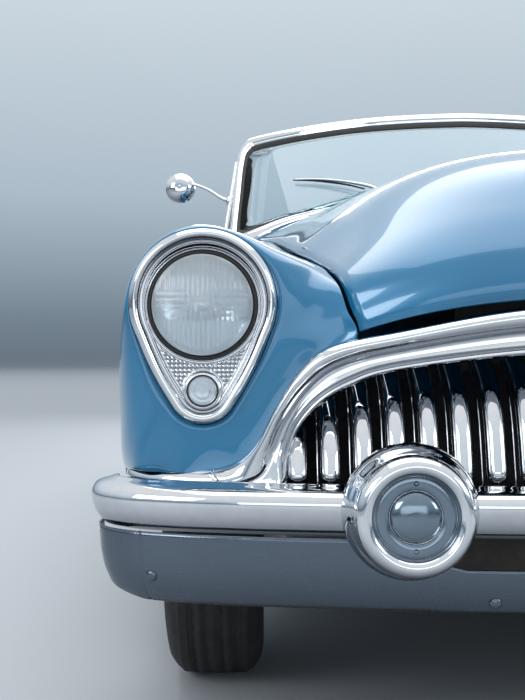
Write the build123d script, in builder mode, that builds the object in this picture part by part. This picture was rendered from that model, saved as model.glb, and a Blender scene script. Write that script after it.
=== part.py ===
"""An open two-door touring car of the 1950s, in millimetres, as an assembly of its real panels and running gear.

The frame: +Z up, the road at Z 0, the car's nose towards -Y, its left side towards +X, and the origin under the
middle of its length. Panels are cut from three smooth hulls (front wing, bonnet and tail), each hollowed by its own
copy moved inwards, so that a wall is as thick as the move.
"""

from build123d import *

import os
from collections import namedtuple
from math import cos, radians, sin, sqrt, tan

os.makedirs("parts", exist_ok=True)

# ---------------------------------------------------------------- driving sizes
overall_length = 5230
wheelbase = 3086
front_overhang = 860
track = 1500
half_width = 966  # widest half of the body, at the doors
belly_z = 620  # height at which the sides are widest
sill_z = 300  # lower edge of the body's sides

wall = 28  # a panel with its folded edges and braces
shut_gap = 8  # round doors
lid_gap = 8  # round the bonnet and the boot lid
seat_gap = 0.3  # between pieces that are bolted or laid together
pin_gap = 0.05  # round a turning pin

tyre_radius = 355
tyre_width = 206
rim_radius = 196
arch_radius = 402
spindle_radius = 18
kingpin_radius = 15
kingpin_x = track / 2 - 130

door_length = 1225
door_inner_x = half_width - 144
belt_top_x = half_width - 116
low_edge_x = half_width - 16  # lower edge of the sides
belt_z = 1016  # top of the doors and of the sides behind them
floor_top_z = 345
floor_thickness = 20
boot_floor_z = 565
rail_x = 400
rail_width = 60
rail_depth = 110

# ---------------------------------------------------------------- places along the car
front_y = -overall_length / 2
rear_y = overall_length / 2
front_axle_y = front_y + front_overhang
rear_axle_y = front_axle_y + wheelbase
wheel_z = tyre_radius
wheel_x = track / 2
nose_y = front_y + 220  # face of the front wings
bonnet_rear_y = front_axle_y + 670
door_front_y = front_axle_y + 890
door_rear_y = door_front_y + door_length
wing_rear_y = door_front_y - shut_gap
quarter_front_y = door_rear_y + shut_gap
cabin_rear_y = rear_axle_y - 171  # back of the rear seat
well_rear_y = cabin_rear_y + 400  # back of the well that the folded hood lies in
lid_front_y = well_rear_y + 60
tail_y = rear_y - 125
tail_mid_y = rear_axle_y + 0.594 * (tail_y - 200 - rear_axle_y)  # where the boot begins to fall
cabin_x = door_inner_x - 40  # half width of the opening beside the rear seat
lid_x = 575  # half width of the boot lid
firewall_y = bonnet_rear_y + 45
dash_rear_y = door_front_y + 265

# The chrome bar under each wing, and the tops of the grille's surround and of its opening on the centre line.
wing_bar_top_z = 512
wing_bar_low_z = 476
grille_top_z = 795
opening_top_z = 727
wing_low_z = wing_bar_top_z + seat_gap

Row = namedtuple("Row", "y x_in z_in x_crown z_crown x_side x_low z_low")
Arch = namedtuple("Arch", "y half z_edge z_mid")
Tail = namedtuple("Tail", "y z_mid x_valley z_valley x_crown z_crown x_side x_low z_low")

# The front wing from nose to door: inner edge, crown, widest side and lower edge at each station.
wing_rows = [
    Row(nose_y, 440, 742, half_width - 211, 908, half_width - 104, half_width - 98, wing_low_z),
    Row(nose_y + 50, 440, 770, half_width - 208, 932, half_width - 73, half_width - 76, wing_low_z),
    Row(nose_y + 195, 465, 838, half_width - 201, 943, half_width - 53, half_width - 58, wing_low_z),
    Row(front_axle_y, 525, 940, half_width - 184, 956, half_width - 14, half_width - 26, sill_z + 20),
    Row(front_axle_y + 505, 590, 1018, half_width - 154, 982, half_width - 4, half_width - 18, sill_z),
    Row(wing_rear_y, 640, 1066, belt_top_x, belt_z, half_width, low_edge_x, sill_z),
]

# The bonnet: half width at its seam with the wings, height there and on the centre line.
bonnet_rows = [
    Arch(front_y + 145, 330, 740, 850),
    Arch(front_y + 190, 440, 735, 945),
    Arch(front_y + 280, 498, 778, 1042),
    Arch(front_y + 415, 524, 848, 1098),
    Arch(front_y + 565, 545, 898, 1130),
    Arch(front_axle_y, 585, 948, 1150),
    Arch(front_axle_y + 350, 628, 1000, 1158),
    Arch(bonnet_rear_y, 666, 1042, 1164),
    Arch(door_front_y + 130, 705, 1066, 1150),
]

# The tail from the door to the rear: centre line, valley beside the boot lid, crown, side and lower edge.
tail_rows = [
    Tail(quarter_front_y, 1060, 700, 1030, belt_top_x, belt_z, half_width, low_edge_x, sill_z),
    Tail(rear_axle_y - 430, 1048, 690, 1018, belt_top_x, 1012, half_width, low_edge_x, sill_z),
    Tail(rear_axle_y, 1034, 670, 996, half_width - 120, 992, half_width - 2, half_width - 21, sill_z + 30),
    Tail(tail_mid_y, 975, 650, 940, half_width - 136, 950, half_width - 14, half_width - 41, 400),
    Tail(tail_y - 200, 850, 635, 838, half_width - 161, 900, half_width - 46, half_width - 86, 470),
    Tail(tail_y - 60, 735, 625, 740, half_width - 176, 860, half_width - 82, half_width - 121, 480),
    Tail(tail_y, 630, 610, 650, half_width - 201, 780, half_width - 130, half_width - 166, 490),
]


# ---------------------------------------------------------------- helpers
def at_y(y):
    """The upright plane across the car at y, whose own x and y are the car's X and Z."""
    return Plane.XZ.offset(-y)


def outline(plane, start, *steps):
    """A closed flat outline: a step of one point is a line to it, and a step of two an arc through the first."""
    with BuildSketch(plane) as sketch:
        with BuildLine():
            here = start
            for step in steps:
                if len(step) == 1:
                    Line(here, step[0])
                else:
                    ThreePointArc(here, *step)
                here = step[-1]
            if here != start:
                Line(here, start)
        make_face()
    return sketch.sketch


def hull(rows, outline_of):
    """A solid through one outline at each station, straight from each to the next."""
    with BuildPart() as solid:
        loft([outline(at_y(row.y), *outline_of(row)) for row in rows], ruled=True)
    return solid.part


def slab(x, y, z):
    """A plain block between three (low, high) pairs."""
    with BuildPart() as block:
        with Locations(((x[0] + x[1]) / 2, (y[0] + y[1]) / 2, (z[0] + z[1]) / 2)):
            Box(x[1] - x[0], y[1] - y[0], z[1] - z[0])
    return block.part


def bar(radius, start, end):
    """A round bar between two points."""
    axis = Vector(*end) - Vector(*start)
    with BuildPart(Plane(origin=start, z_dir=axis)) as round_bar:
        Cylinder(radius, axis.length, align=(Align.CENTER, Align.CENTER, Align.MIN))
    return round_bar.part


def pushed(sketch, amount, direction=None):
    """A sketch pushed through a distance."""
    with BuildPart() as solid:
        extrude(sketch, amount=amount, dir=direction)
    return solid.part


def combined(first, *others, less=(), within=()):
    """The first solid with others joined, then cut by some and kept only inside some."""
    with BuildPart() as solid:
        add(first)
        for other in others:
            add(other)
        for tool in less:
            add(tool, mode=Mode.SUBTRACT)
        for tool in within:
            add(tool, mode=Mode.INTERSECT)
    return solid.part


def hollow(volume, *move):
    """A hull less its own copy moved inwards."""
    return combined(volume, less=[volume.moved(Location(move))])


def mirrored(part):
    """The same piece for the other side of the car."""
    with BuildPart() as other_side:
        mirror(part, about=Plane.YZ)
    return other_side.part


def both(part):
    """A piece and its mirror image in one node."""
    return combined(part, mirrored(part))


def keep(part, name):
    """Labels a finished piece and writes it under that name."""
    part.label = name
    export_step(part, f"parts/{name}.step")


# ---------------------------------------------------------------- hulls
def wing_outline(row):
    """Inner edge, over the crown, down the side to the lower edge."""
    inner, crown = (row.x_in, row.z_in), (row.x_crown, row.z_crown)
    side, low = (row.x_side, belly_z), (row.x_low, row.z_low)
    top = ((inner[0] + crown[0]) / 2, (inner[1] + crown[1]) / 2 + 6)
    shoulder = (crown[0] + 0.72 * (side[0] - crown[0]), side[1] + 0.72 * (crown[1] - side[1]))
    belly = ((side[0] + low[0]) / 2 + 4, (side[1] + low[1]) / 2)
    return (row.x_in, row.z_low), (inner,), (top, crown), (shoulder, side), (belly, low)


def arch_outline(row):
    """A crowned arch, flat-topped and steep at its ends, run on past the seam by 60 and closed underneath."""
    half = row.half + 60

    def height(x):
        return row.z_mid - (row.z_mid - row.z_edge) * (x / row.half) ** 3

    knee, hip, foot = 0.55 * half, 0.8 * half, row.z_edge - 300
    return (
        (-half, foot),
        ((-half, height(half)),),
        ((-hip, height(hip)), (-knee, height(knee))),
        ((0, row.z_mid), (knee, height(knee))),
        ((hip, height(hip)), (half, height(half))),
        ((half, foot),),
    )


def tail_outline(row):
    """From the centre line over the boot, the valley and the crown, down the side."""
    mid, valley, crown = (0, row.z_mid), (row.x_valley, row.z_valley), (row.x_crown, row.z_crown)
    side, low = (row.x_side, belly_z), (row.x_low, row.z_low)
    deck = (0.6 * valley[0], valley[1] + 0.74 * (mid[1] - valley[1]))
    ridge = ((valley[0] + crown[0]) / 2, (valley[1] + crown[1]) / 2 + 8)
    shoulder = (crown[0] + 0.72 * (side[0] - crown[0]), side[1] + 0.72 * (crown[1] - side[1]))
    belly = ((side[0] + low[0]) / 2 + 4, (side[1] + low[1]) / 2)
    return (0, row.z_low), (mid,), (deck, valley), (ridge, crown), (shoulder, side), (belly, low)


wing_hull = hull(wing_rows, wing_outline)
bonnet_hull = hull(bonnet_rows, arch_outline)
cowl_hull = hull(bonnet_rows[-3:], arch_outline)
tail_hull = hull(tail_rows, tail_outline)


# The seam between bonnet and wing, seen from above, is one long arc.
def seam_plan(gap, y_rear):
    """The plan area inside the seam, widened by a gap."""
    front, middle, rear = 478 + gap, 585 + gap, 690 + gap
    ahead = front_y - 100
    area = outline(
        Plane.XY,
        (-rear, wing_rear_y),
        ((-middle, front_axle_y), (-front, ahead)),
        ((front, ahead),),
        ((middle, front_axle_y), (rear, wing_rear_y)),
    )
    return combined(pushed(area, 1600), within=[slab((-900, 900), (ahead, y_rear), (0, 1600))])


# The grille surround's outer and inner edges, seen from the front.
def grille_area(grow=0.0):
    """What lies inside the surround's outer edge, grown by a gap."""
    g = grow
    return outline(
        at_y(front_y - 60),
        (-(640 + g), 300),
        ((-(640 + g), 572),),
        ((-(600 + g), 640 + g), (-(539 + g), 695 + g)),
        ((0, grille_top_z + g), (539 + g, 695 + g)),
        ((600 + g, 640 + g), (640 + g, 572)),
        ((640 + g, 300),),
    )


def opening_area(shrink=0.0):
    """The grille's opening, shrunk by a gap."""
    s = shrink
    return outline(
        at_y(front_y - 60),
        (-(612 - s), 300),
        ((-(606 - s), 552),),
        ((-(572 - s), 625 - s), (-(500 - s), 674 - s)),
        ((0, opening_top_z - s), (500 - s, 674 - s)),
        ((572 - s, 625 - s), (606 - s, 552)),
        ((612 - s, 300),),
    )


bow_half = half_width - 16


def bow(inset, depth):
    """The car's bowed front in plan: a band of a given depth behind the line that the bumper's face follows."""

    def line_at(d):
        side = bow_half - d
        return [
            (0, front_y + 55 + d),
            (bow_half - 250 - 0.6 * d, front_y + 115 + d),
            (side - 60, front_y + 180 + 0.8 * d),
            (side, front_y + 330 + 0.4 * d),
        ]

    outer, inner = line_at(inset), line_at(inset + depth)

    def mid_of(a, b):
        return ((a[0] + b[0]) / 2 + 10, (a[1] + b[1]) / 2 - 6)

    area = outline(
        Plane.XY,
        (-outer[3][0], outer[3][1]),
        ((-mid_of(outer[2], outer[3])[0] - 14, mid_of(outer[2], outer[3])[1] - 16), (-outer[2][0], outer[2][1])),
        ((-mid_of(outer[1], outer[2])[0], mid_of(outer[1], outer[2])[1]), (-outer[1][0], outer[1][1])),
        (outer[0], outer[1]),
        (mid_of(outer[1], outer[2]), outer[2]),
        ((mid_of(outer[2], outer[3])[0] + 14, mid_of(outer[2], outer[3])[1] - 16), outer[3]),
        (inner[3],),
        ((mid_of(inner[2], inner[3])[0] + 14, mid_of(inner[2], inner[3])[1] - 16), inner[2]),
        (mid_of(inner[1], inner[2]), inner[1]),
        (inner[0], (-inner[1][0], inner[1][1])),
        ((-mid_of(inner[1], inner[2])[0], mid_of(inner[1], inner[2])[1]), (-inner[2][0], inner[2][1])),
        ((-mid_of(inner[2], inner[3])[0] - 14, mid_of(inner[2], inner[3])[1] - 16), (-inner[3][0], inner[3][1])),
    )
    return pushed(area, 1400)


def wheel_well(y, radius=arch_radius):
    """What the wheel needs clear, from outside the car to behind the tyre."""
    return bar(radius, (wheel_x - 250, y, wheel_z), (wheel_x + 350, y, wheel_z))


# ---------------------------------------------------------------- front wings
lamp_x = half_width - 215
lamp_z = 800
lamp_radius = 92
park_z = 651
park_radius = 34
bezel_radius = 125
bezel_foot_radius = 60
bezel_face_y = nose_y - 42

wing_left = combined(
    hollow(wing_hull, -wall, wall, -wall),
    less=[
        seam_plan(lid_gap, wing_rear_y + 10),
        pushed(grille_area(seat_gap), -420),
        wheel_well(front_axle_y),
        bar(lamp_radius + 4, (lamp_x, nose_y - 20, lamp_z), (lamp_x, nose_y + 60, lamp_z)),
        bar(park_radius + 4, (lamp_x, nose_y - 20, park_z), (lamp_x, nose_y + 60, park_z)),
    ],
)
keep(wing_left, "front_wing_left")
keep(mirrored(wing_left), "front_wing_right")

# ---------------------------------------------------------------- bonnet
bonnet_hinge_back = 150  # the hinge links turn it about a line this far behind its rear edge
bonnet_hinge_z = 1164

bonnet_inside = bonnet_hull.moved(Location((0, wall, -wall)))
bonnet = combined(bonnet_hull, within=[seam_plan(0, bonnet_rear_y)])
bonnet = combined(bonnet, less=[pushed(grille_area(lid_gap), -420), bonnet_inside])
keep(bonnet, "bonnet")

# ---------------------------------------------------------------- cowl
# It carries the windscreen and the doors' hinges and closes the cabin's front with its firewall and side walls.
cowl_front_y = bonnet_rear_y + lid_gap
cowl_rear_y = door_front_y + 125
cowl_side_x = 640
cowl_side_thickness = 24
ledge_depth = 16
post_y = (wing_rear_y - 60, wing_rear_y - 36)
tunnel_x = 130
tunnel_z = 458
sheet = 18

door_hinge_x = half_width - 54
door_hinge_y = door_front_y - 55
hinge_heights = (430, 740)
hinge_pin_radius = 6
hinge_eye_radius = 12
hinge_arm_height = 20

under_bonnet = cowl_hull.moved(Location((0, wall, -wall - seat_gap)))
under_ledge = cowl_hull.moved(Location((0, wall, -wall - seat_gap - ledge_depth)))
cowl_plan = seam_plan(lid_gap - seat_gap, wing_rear_y)
cowl_outline = combined(cowl_plan, slab((-900, 900), (wing_rear_y, cowl_rear_y), (0, 1600)))
cowl_skin = combined(
    cowl_hull,
    less=[cowl_hull.moved(Location((0, 0, -wall)))],
    within=[cowl_outline, slab((-900, 900), (cowl_front_y, cowl_rear_y), (700, 1300))],
)
ledge = combined(
    under_bonnet,
    less=[under_ledge],
    within=[seam_plan(-10, wing_rear_y), slab((-900, 900), (bonnet_rear_y - 25, firewall_y), (700, 1300))],
)
ledge_root = combined(
    cowl_hull,
    less=[under_ledge],
    within=[seam_plan(-10, wing_rear_y), slab((-900, 900), (cowl_front_y, firewall_y), (700, 1300))],
)
with BuildPart() as firewall:
    add(cowl_hull.moved(Location((0, 0, -sheet / 2))))
    wall_span = slab((-cowl_side_x, cowl_side_x), (firewall_y, firewall_y + sheet), (700, 1300))
    add(wall_span, mode=Mode.INTERSECT)
    add(slab((-cowl_side_x, cowl_side_x), (firewall_y, firewall_y + sheet), (floor_top_z, 800)))
    tunnel_mouth = slab((-tunnel_x, tunnel_x), (firewall_y - 1, firewall_y + sheet + 1), (0, tunnel_z))
    add(tunnel_mouth, mode=Mode.SUBTRACT)
with BuildPart() as cowl_side:
    side_x = (cowl_side_x - cowl_side_thickness, cowl_side_x)
    add(slab(side_x, (firewall_y, post_y[1]), (floor_top_z, 970)))
    add(slab((cowl_side_x - 1, door_inner_x - 12), post_y, (floor_top_z, 960)))
    for z in hinge_heights:
        low = z - hinge_arm_height / 2 - seat_gap - 8
        high = z - hinge_arm_height / 2 - seat_gap
        add(slab((door_inner_x - 13, door_hinge_x), post_y, (low, high)))
        add(bar(hinge_eye_radius, (door_hinge_x, door_hinge_y, low), (door_hinge_x, door_hinge_y, high)))
        add(bar(hinge_pin_radius, (door_hinge_x, door_hinge_y, low), (door_hinge_x, door_hinge_y, z + 12)))
cowl = combined(cowl_skin, ledge, ledge_root, firewall.part, both(cowl_side.part))
keep(cowl, "cowl")

# ---------------------------------------------------------------- windscreen
screen_base_z = 1040
screen_slope = 0.88  # how far it leans back for each unit up
screen_middle_y = bonnet_rear_y + 10
screen_corner = (735, door_front_y + 65)
screen_post = 33
screen_depth = 34
screen_glass = 6


def screen_band(inset, depth):
    """The windscreen's bowed and leaning sheet, from an inset behind its face and so deep."""
    side = screen_corner[0] + 60
    fall = (screen_corner[1] - screen_middle_y) * (side / screen_corner[0]) ** 2
    front, rear = screen_middle_y + inset, screen_middle_y + inset + depth
    area = outline(
        Plane.XY.offset(screen_base_z - 140),
        (-side, front + fall - 140 * screen_slope),
        ((0, front - 140 * screen_slope), (side, front + fall - 140 * screen_slope)),
        ((side, rear + fall - 140 * screen_slope),),
        ((0, rear - 140 * screen_slope), (-side, rear + fall - 140 * screen_slope)),
    )
    length = 700 * (1 + screen_slope**2) ** 0.5
    return pushed(area, length, (0, screen_slope, 1))


screen_outer = outline(
    at_y(cowl_front_y - 300),
    (-757, screen_base_z - 2),
    ((-757, 1075),),
    ((-738, 1350),),
    ((-716, 1430), (-650, 1458)),
    ((0, 1492), (650, 1458)),
    ((716, 1430), (738, 1350)),
    ((757, 1075),),
    ((757, screen_base_z - 2),),
)


def screen_light(shrink):
    """The glass seen from the front, shrunk by a gap."""
    s = shrink
    return outline(
        at_y(cowl_front_y - 300),
        (-(724 - s), 1100 + s),
        ((-(706 - s), 1345),),
        ((-(690 - s), 1395 - s), (-(635 - s), 1416 - s)),
        ((0, 1450 - s), (635 - s, 1416 - s)),
        ((690 - s, 1395 - s), (706 - s, 1345)),
        ((724 - s, 1100 + s),),
        ((0, 1194 + s), (-(724 - s), 1100 + s)),
    )


over_cowl = cowl_hull.moved(Location((0, 0, 2 * seat_gap)))
screen_frame = combined(screen_band(0, screen_depth), within=[pushed(screen_outer, -1200)])
screen_frame = combined(screen_frame, less=[pushed(screen_light(0), -1200), over_cowl])
keep(screen_frame, "windscreen_frame")
glass_inset = (screen_depth - screen_glass) / 2
glass = combined(screen_band(glass_inset, screen_glass), within=[pushed(screen_light(seat_gap), -1200)])
keep(glass, "windscreen_glass")

# ---------------------------------------------------------------- front of the car
front_band = bow(60, 60)
grille_surround = combined(
    pushed(grille_area(), -420),
    less=[pushed(opening_area(), -420), slab((-700, 700), (front_y, nose_y + 200), (0, wing_bar_low_z))],
    within=[front_band],
)
wing_bar = combined(
    slab((600, bow_half - 25), (front_y, nose_y + 200), (wing_bar_low_z, wing_bar_top_z)),
    less=[pushed(opening_area(), -420)],
    within=[front_band],
)
grille_surround = combined(grille_surround, both(wing_bar))
keep(grille_surround, "grille_surround")

bar_pitch = 53.8
bar_width = 33
bar_count = 23
bar_slope = 0.42  # how far the bars lean back for each unit up
bar_foot_y = front_y + 110
bar_foot_z = 430 + rail_depth / 2 + seat_gap
with BuildPart() as grille_bars:
    with GridLocations(bar_pitch, 1, bar_count, 1):
        Box(bar_width, 1200, 400, align=(Align.CENTER, Align.CENTER, Align.MIN))
bar_area = outline(
    Plane.XY,
    (-700, bar_foot_y + 60),
    ((0, bar_foot_y), (700, bar_foot_y + 60)),
    ((700, bar_foot_y + 90),),
    ((0, bar_foot_y + 30), (-700, bar_foot_y + 90)),
)
bar_band = pushed(bar_area, 360 * (1 + bar_slope**2) ** 0.5, (0, bar_slope, 1)).moved(Location((0, 0, 440)))
bars = combined(
    grille_bars.part.moved(Location((0, bar_foot_y + 100, bar_foot_z))),
    within=[bar_band, pushed(opening_area(seat_gap), -420)],
)
bar_rail = combined(
    pushed(opening_area(seat_gap), -420),
    less=[pushed(opening_area(24), -420), slab((-700, 700), (front_y, nose_y + 200), (0, 500))],
    within=[bow(95, 70)],
)
foot_rail = combined(
    slab((-604, 604), (front_y, nose_y + 200), (bar_foot_z, bar_foot_z + 20)),
    within=[bow(80, 60)],
)
bars = combined(bars, bar_rail, foot_rail)
keep(bars, "grille_bars")

bezel = combined(
    pushed(
        outline(
            at_y(bezel_face_y),
            (lamp_x - 111.8, lamp_z - 56),
            ((lamp_x, lamp_z + bezel_radius), (lamp_x + 111.8, lamp_z - 56)),
            ((lamp_x + 53.6, 655 - 26.9),),
            ((lamp_x, 655 - bezel_foot_radius), (lamp_x - 53.6, 655 - 26.9)),
        ),
        -(nose_y - seat_gap - bezel_face_y),
    ),
    less=[
        bar(lamp_radius, (lamp_x, bezel_face_y - 1, lamp_z), (lamp_x, nose_y, lamp_z)),
        bar(park_radius, (lamp_x, bezel_face_y - 1, park_z), (lamp_x, nose_y, park_z)),
    ],
)
keep(both(bezel), "headlamp_bezels")
lamps = combined(
    bar(lamp_radius - seat_gap, (lamp_x, bezel_face_y + 4, lamp_z), (lamp_x, nose_y + 45, lamp_z)),
    bar(park_radius - seat_gap, (lamp_x, bezel_face_y - 6, park_z), (lamp_x, nose_y + 25, park_z)),
)
keep(both(lamps), "front_lamps")

# ---------------------------------------------------------------- bumpers
bumper_low_z = 420
bumper_top_z = 503
bumper_depth = 55
apron_low_z = 300
guard_x = 418
guard_z = 467
guard_radius = 94
guard_base_radius = 118
plate_hole_pitch = 177.8
plate_hole_radius = 3.5
plate_hole_x = plate_hole_pitch / 2

bumper_bar = combined(
    bow(0, bumper_depth), within=[slab((-1100, 1100), (front_y, 0), (bumper_low_z, bumper_top_z))]
)
keep(bumper_bar, "front_bumper_bar")
apron = combined(
    bow(12, bumper_depth - 12),
    less=[
        slab((-350, 350), (front_y, 0), (372, bumper_low_z)),
        bar(plate_hole_radius, (plate_hole_x, front_y, 340), (plate_hole_x, 0, 340)),
        bar(plate_hole_radius, (-plate_hole_x, front_y, 340), (-plate_hole_x, 0, 340)),
    ],
    within=[slab((-1100, 1100), (front_y, 0), (apron_low_z, bumper_low_z - seat_gap))],
)
keep(apron, "front_bumper_apron")
guard = combined(
    bar(guard_radius, (guard_x, front_y, guard_z), (guard_x, front_y + 120, guard_z)),
    bar(guard_base_radius, (guard_x, front_y + 35, guard_z), (guard_x, front_y + 120, guard_z)),
    less=[bow(-seat_gap, 200)],
)
keep(both(guard), "bumper_guards")


rear_bow_half = half_width - 6
rear_bumper_depth = 45
rear_bumper_low_z = 370
rear_bumper_top_z = 465


def rear_bow(inset, depth):
    """A band behind the car that follows the rear bumper's face, from an inset inside it and so deep."""
    outer, inner = rear_y - inset, rear_y - inset - depth
    side, side_inner, end_y = rear_bow_half - inset, rear_bow_half - inset - depth, rear_y - 285
    area = outline(
        Plane.XY,
        (-side, end_y),
        ((-(side - 70), outer - 150), (-(rear_bow_half - 220), outer - 65)),
        ((0, outer), (rear_bow_half - 220, outer - 65)),
        ((side - 70, outer - 150), (side, end_y)),
        ((side_inner, end_y),),
        ((side_inner - 80, inner - 142), (rear_bow_half - 240, inner - 62)),
        ((0, inner), (-(rear_bow_half - 240), inner - 62)),
        ((-(side_inner - 80), inner - 142), (-side_inner, end_y)),
    )
    return pushed(area, 1400)


rear_bumper = combined(
    rear_bow(0, rear_bumper_depth),
    within=[slab((-1100, 1100), (rear_y - 400, rear_y), (rear_bumper_low_z, rear_bumper_top_z))],
)
keep(rear_bumper, "rear_bumper")

# ---------------------------------------------------------------- chassis
RailPoint = namedtuple("RailPoint", "y z")
rail_line = [
    RailPoint(front_y + 60, 430),
    RailPoint(front_axle_y + 255, 430),
    RailPoint(front_axle_y + 505, 270),
    RailPoint(rear_axle_y - 481, 270),
    RailPoint(rear_axle_y - 281, 480),
    RailPoint(rear_axle_y + 319, 480),
    RailPoint(rear_axle_y + 519, 400),
    RailPoint(rear_y, 400),
]
CrossMember = namedtuple("CrossMember", "y z_low z_high")
cross_members = [
    CrossMember(front_y + 390, 320, 400),
    CrossMember(front_axle_y + 1155, 230, 310),
    CrossMember(rear_axle_y - 631, 230, 310),
    CrossMember(rear_axle_y + 569, 360, 440),
]
member_half_depth = 40
with BuildPart() as rails:
    with BuildSketch(Plane.YZ.offset(rail_x - rail_width / 2)):
        with BuildLine():
            lower = [(p.y, p.z - rail_depth / 2) for p in rail_line]
            upper = [(p.y, p.z + rail_depth / 2) for p in reversed(rail_line)]
            Polyline(*lower, *upper, close=True)
        make_face()
    extrude(amount=rail_width)
    mirror(about=Plane.YZ)
    add(bow(-100, 100 + bumper_depth + seat_gap), mode=Mode.SUBTRACT)
    add(rear_bow(-100, 100 + rear_bumper_depth + seat_gap), mode=Mode.SUBTRACT)
keep(rails.part, "chassis_frame")
with BuildPart() as members:
    for member in cross_members:
        rail_inner = rail_x - rail_width / 2 - seat_gap
        member_y = (member.y - member_half_depth, member.y + member_half_depth)
        add(slab((-rail_inner, rail_inner), member_y, (member.z_low, member.z_high)))
keep(members.part, "cross_members")

# ---------------------------------------------------------------- floor
sill_top_z = 352
sill_low_z = 270
sill_inner_x = half_width - 126
sill_outer_x = half_width - 18
tunnel_wall = 18
house_x = wheel_x - 150  # inner face of the rear wheelhouses
floor_rear_half = house_x - 10
step_y = rear_axle_y - 501  # where the cabin's floor steps up to the boot's
floor_low_z = floor_top_z - floor_thickness + seat_gap
with BuildPart() as floor_pan:
    add(slab((-cowl_side_x, cowl_side_x), (firewall_y, post_y[0]), (floor_low_z, floor_top_z)))
    add(slab((-sill_inner_x, sill_inner_x), (post_y[0], step_y + 20), (floor_low_z, floor_top_z)))
    rear_floor_x = (-floor_rear_half, floor_rear_half)
    add(slab(rear_floor_x, (step_y, step_y + 20), (floor_top_z - 1, boot_floor_z)))
    add(slab(rear_floor_x, (step_y, tail_y - 60), (boot_floor_z - floor_thickness, boot_floor_z)))
    add(slab((-tunnel_x, tunnel_x), (firewall_y, step_y + 20), (floor_low_z, tunnel_z)))
    tunnel_inner = tunnel_x - tunnel_wall
    hollow_y = (firewall_y - 1, step_y + 21)
    add(slab((-tunnel_inner, tunnel_inner), hollow_y, (0, tunnel_z - tunnel_wall)), mode=Mode.SUBTRACT)
    for side in (-1, 1):
        sill_x = sorted((side * (sill_inner_x - 1), side * sill_outer_x))
        sill_y = (wing_rear_y + seat_gap, quarter_front_y - seat_gap)
        add(slab(sill_x, sill_y, (sill_low_z, sill_top_z)))
keep(floor_pan.part, "floor_pan")

# ---------------------------------------------------------------- engine and its drive
member_top_z = 430 - rail_depth / 2 - seat_gap
engine_front_y = front_axle_y - 195
engine_rear_y = front_axle_y + 525
gearbox_rear_y = front_axle_y + 955
axle_housing_radius = 140
shaft_radius = 35
with BuildPart() as engine:
    add(slab((-280, 280), (engine_front_y, engine_rear_y), (member_top_z + seat_gap, 930)))
    add(slab((-100, 100), (engine_rear_y - 1, gearbox_rear_y), (300, 420)))
keep(engine.part, "engine_block")
radiator_y = (cross_members[0].y - 35, cross_members[0].y + 35)
radiator = slab((-300, 300), radiator_y, (cross_members[0].z_high + seat_gap, 860))
keep(radiator, "radiator")

drive_start = (0, gearbox_rear_y + seat_gap, wheel_z)
drive_end = (0, rear_axle_y - axle_housing_radius - seat_gap, wheel_z)
propeller_shaft = bar(shaft_radius, drive_start, drive_end)
keep(propeller_shaft, "propeller_shaft")

exhaust_x = -250
exhaust_z = 180
exhaust_start_y = front_axle_y + 555
silencer_y = (rear_axle_y - 1431, rear_axle_y - 851)
exhaust_radius = 24
silencer_radius = 45
with BuildPart() as exhaust:
    add(bar(exhaust_radius, (exhaust_x, exhaust_start_y, exhaust_z), (exhaust_x, rear_y - 30, exhaust_z)))
    add(bar(silencer_radius, (exhaust_x, silencer_y[0], exhaust_z), (exhaust_x, silencer_y[1], exhaust_z)))
    for member in cross_members[1:]:
        hanger_y = (member.y - 10, member.y + 10)
        add(slab((exhaust_x - 8, exhaust_x + 8), hanger_y, (exhaust_z, member.z_low - seat_gap)))
    pipe_top_z = member_top_z
    down_pipe = bar(
        exhaust_radius, (exhaust_x, exhaust_start_y, exhaust_z - 20), (exhaust_x, exhaust_start_y, pipe_top_z)
    )
    add(down_pipe)
keep(exhaust.part, "exhaust_pipe")

# ---------------------------------------------------------------- front suspension
eye_radius = 28
lower_arm = (222, 250)
upper_arm = (450, 478)
arm_half_width = 30
tower_x = (rail_x + rail_width / 2 + seat_gap, 456)
with BuildPart() as front_suspension:
    add(slab((-456, 456), (front_axle_y - 60, front_axle_y + 60), (lower_arm[0], member_top_z)))
    for side in (-1, 1):
        tower = sorted(side * x for x in tower_x)
        arm_y = (front_axle_y - arm_half_width, front_axle_y + arm_half_width)
        add(slab(tower, arm_y, (lower_arm[0], upper_arm[1])))
        for low, high in (lower_arm, upper_arm):
            add(slab(sorted((side * 440, side * kingpin_x)), arm_y, (low, high)))
            eye = (side * kingpin_x, front_axle_y)
            add(bar(eye_radius, (*eye, low), (*eye, high)))
            add(bar(kingpin_radius + pin_gap, (*eye, low - 1), (*eye, high + 1)), mode=Mode.SUBTRACT)
keep(front_suspension.part, "front_suspension")

knuckle_half = 38
knuckle_z = (256, 444)
wheel_hub_x = wheel_x - 82
spindle_end_x = wheel_x + 50
with BuildPart() as knuckle_left:
    add(slab((kingpin_x - 25, kingpin_x + knuckle_half), (front_axle_y - 30, front_axle_y + 30), knuckle_z))
    kingpin_at = (kingpin_x, front_axle_y)
    add(bar(kingpin_radius, (*kingpin_at, lower_arm[0]), (*kingpin_at, upper_arm[1])))
    add(bar(spindle_radius, (kingpin_x, front_axle_y, wheel_z), (spindle_end_x, front_axle_y, wheel_z)))
keep(knuckle_left.part, "knuckle_left")
keep(mirrored(knuckle_left.part), "knuckle_right")

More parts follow.
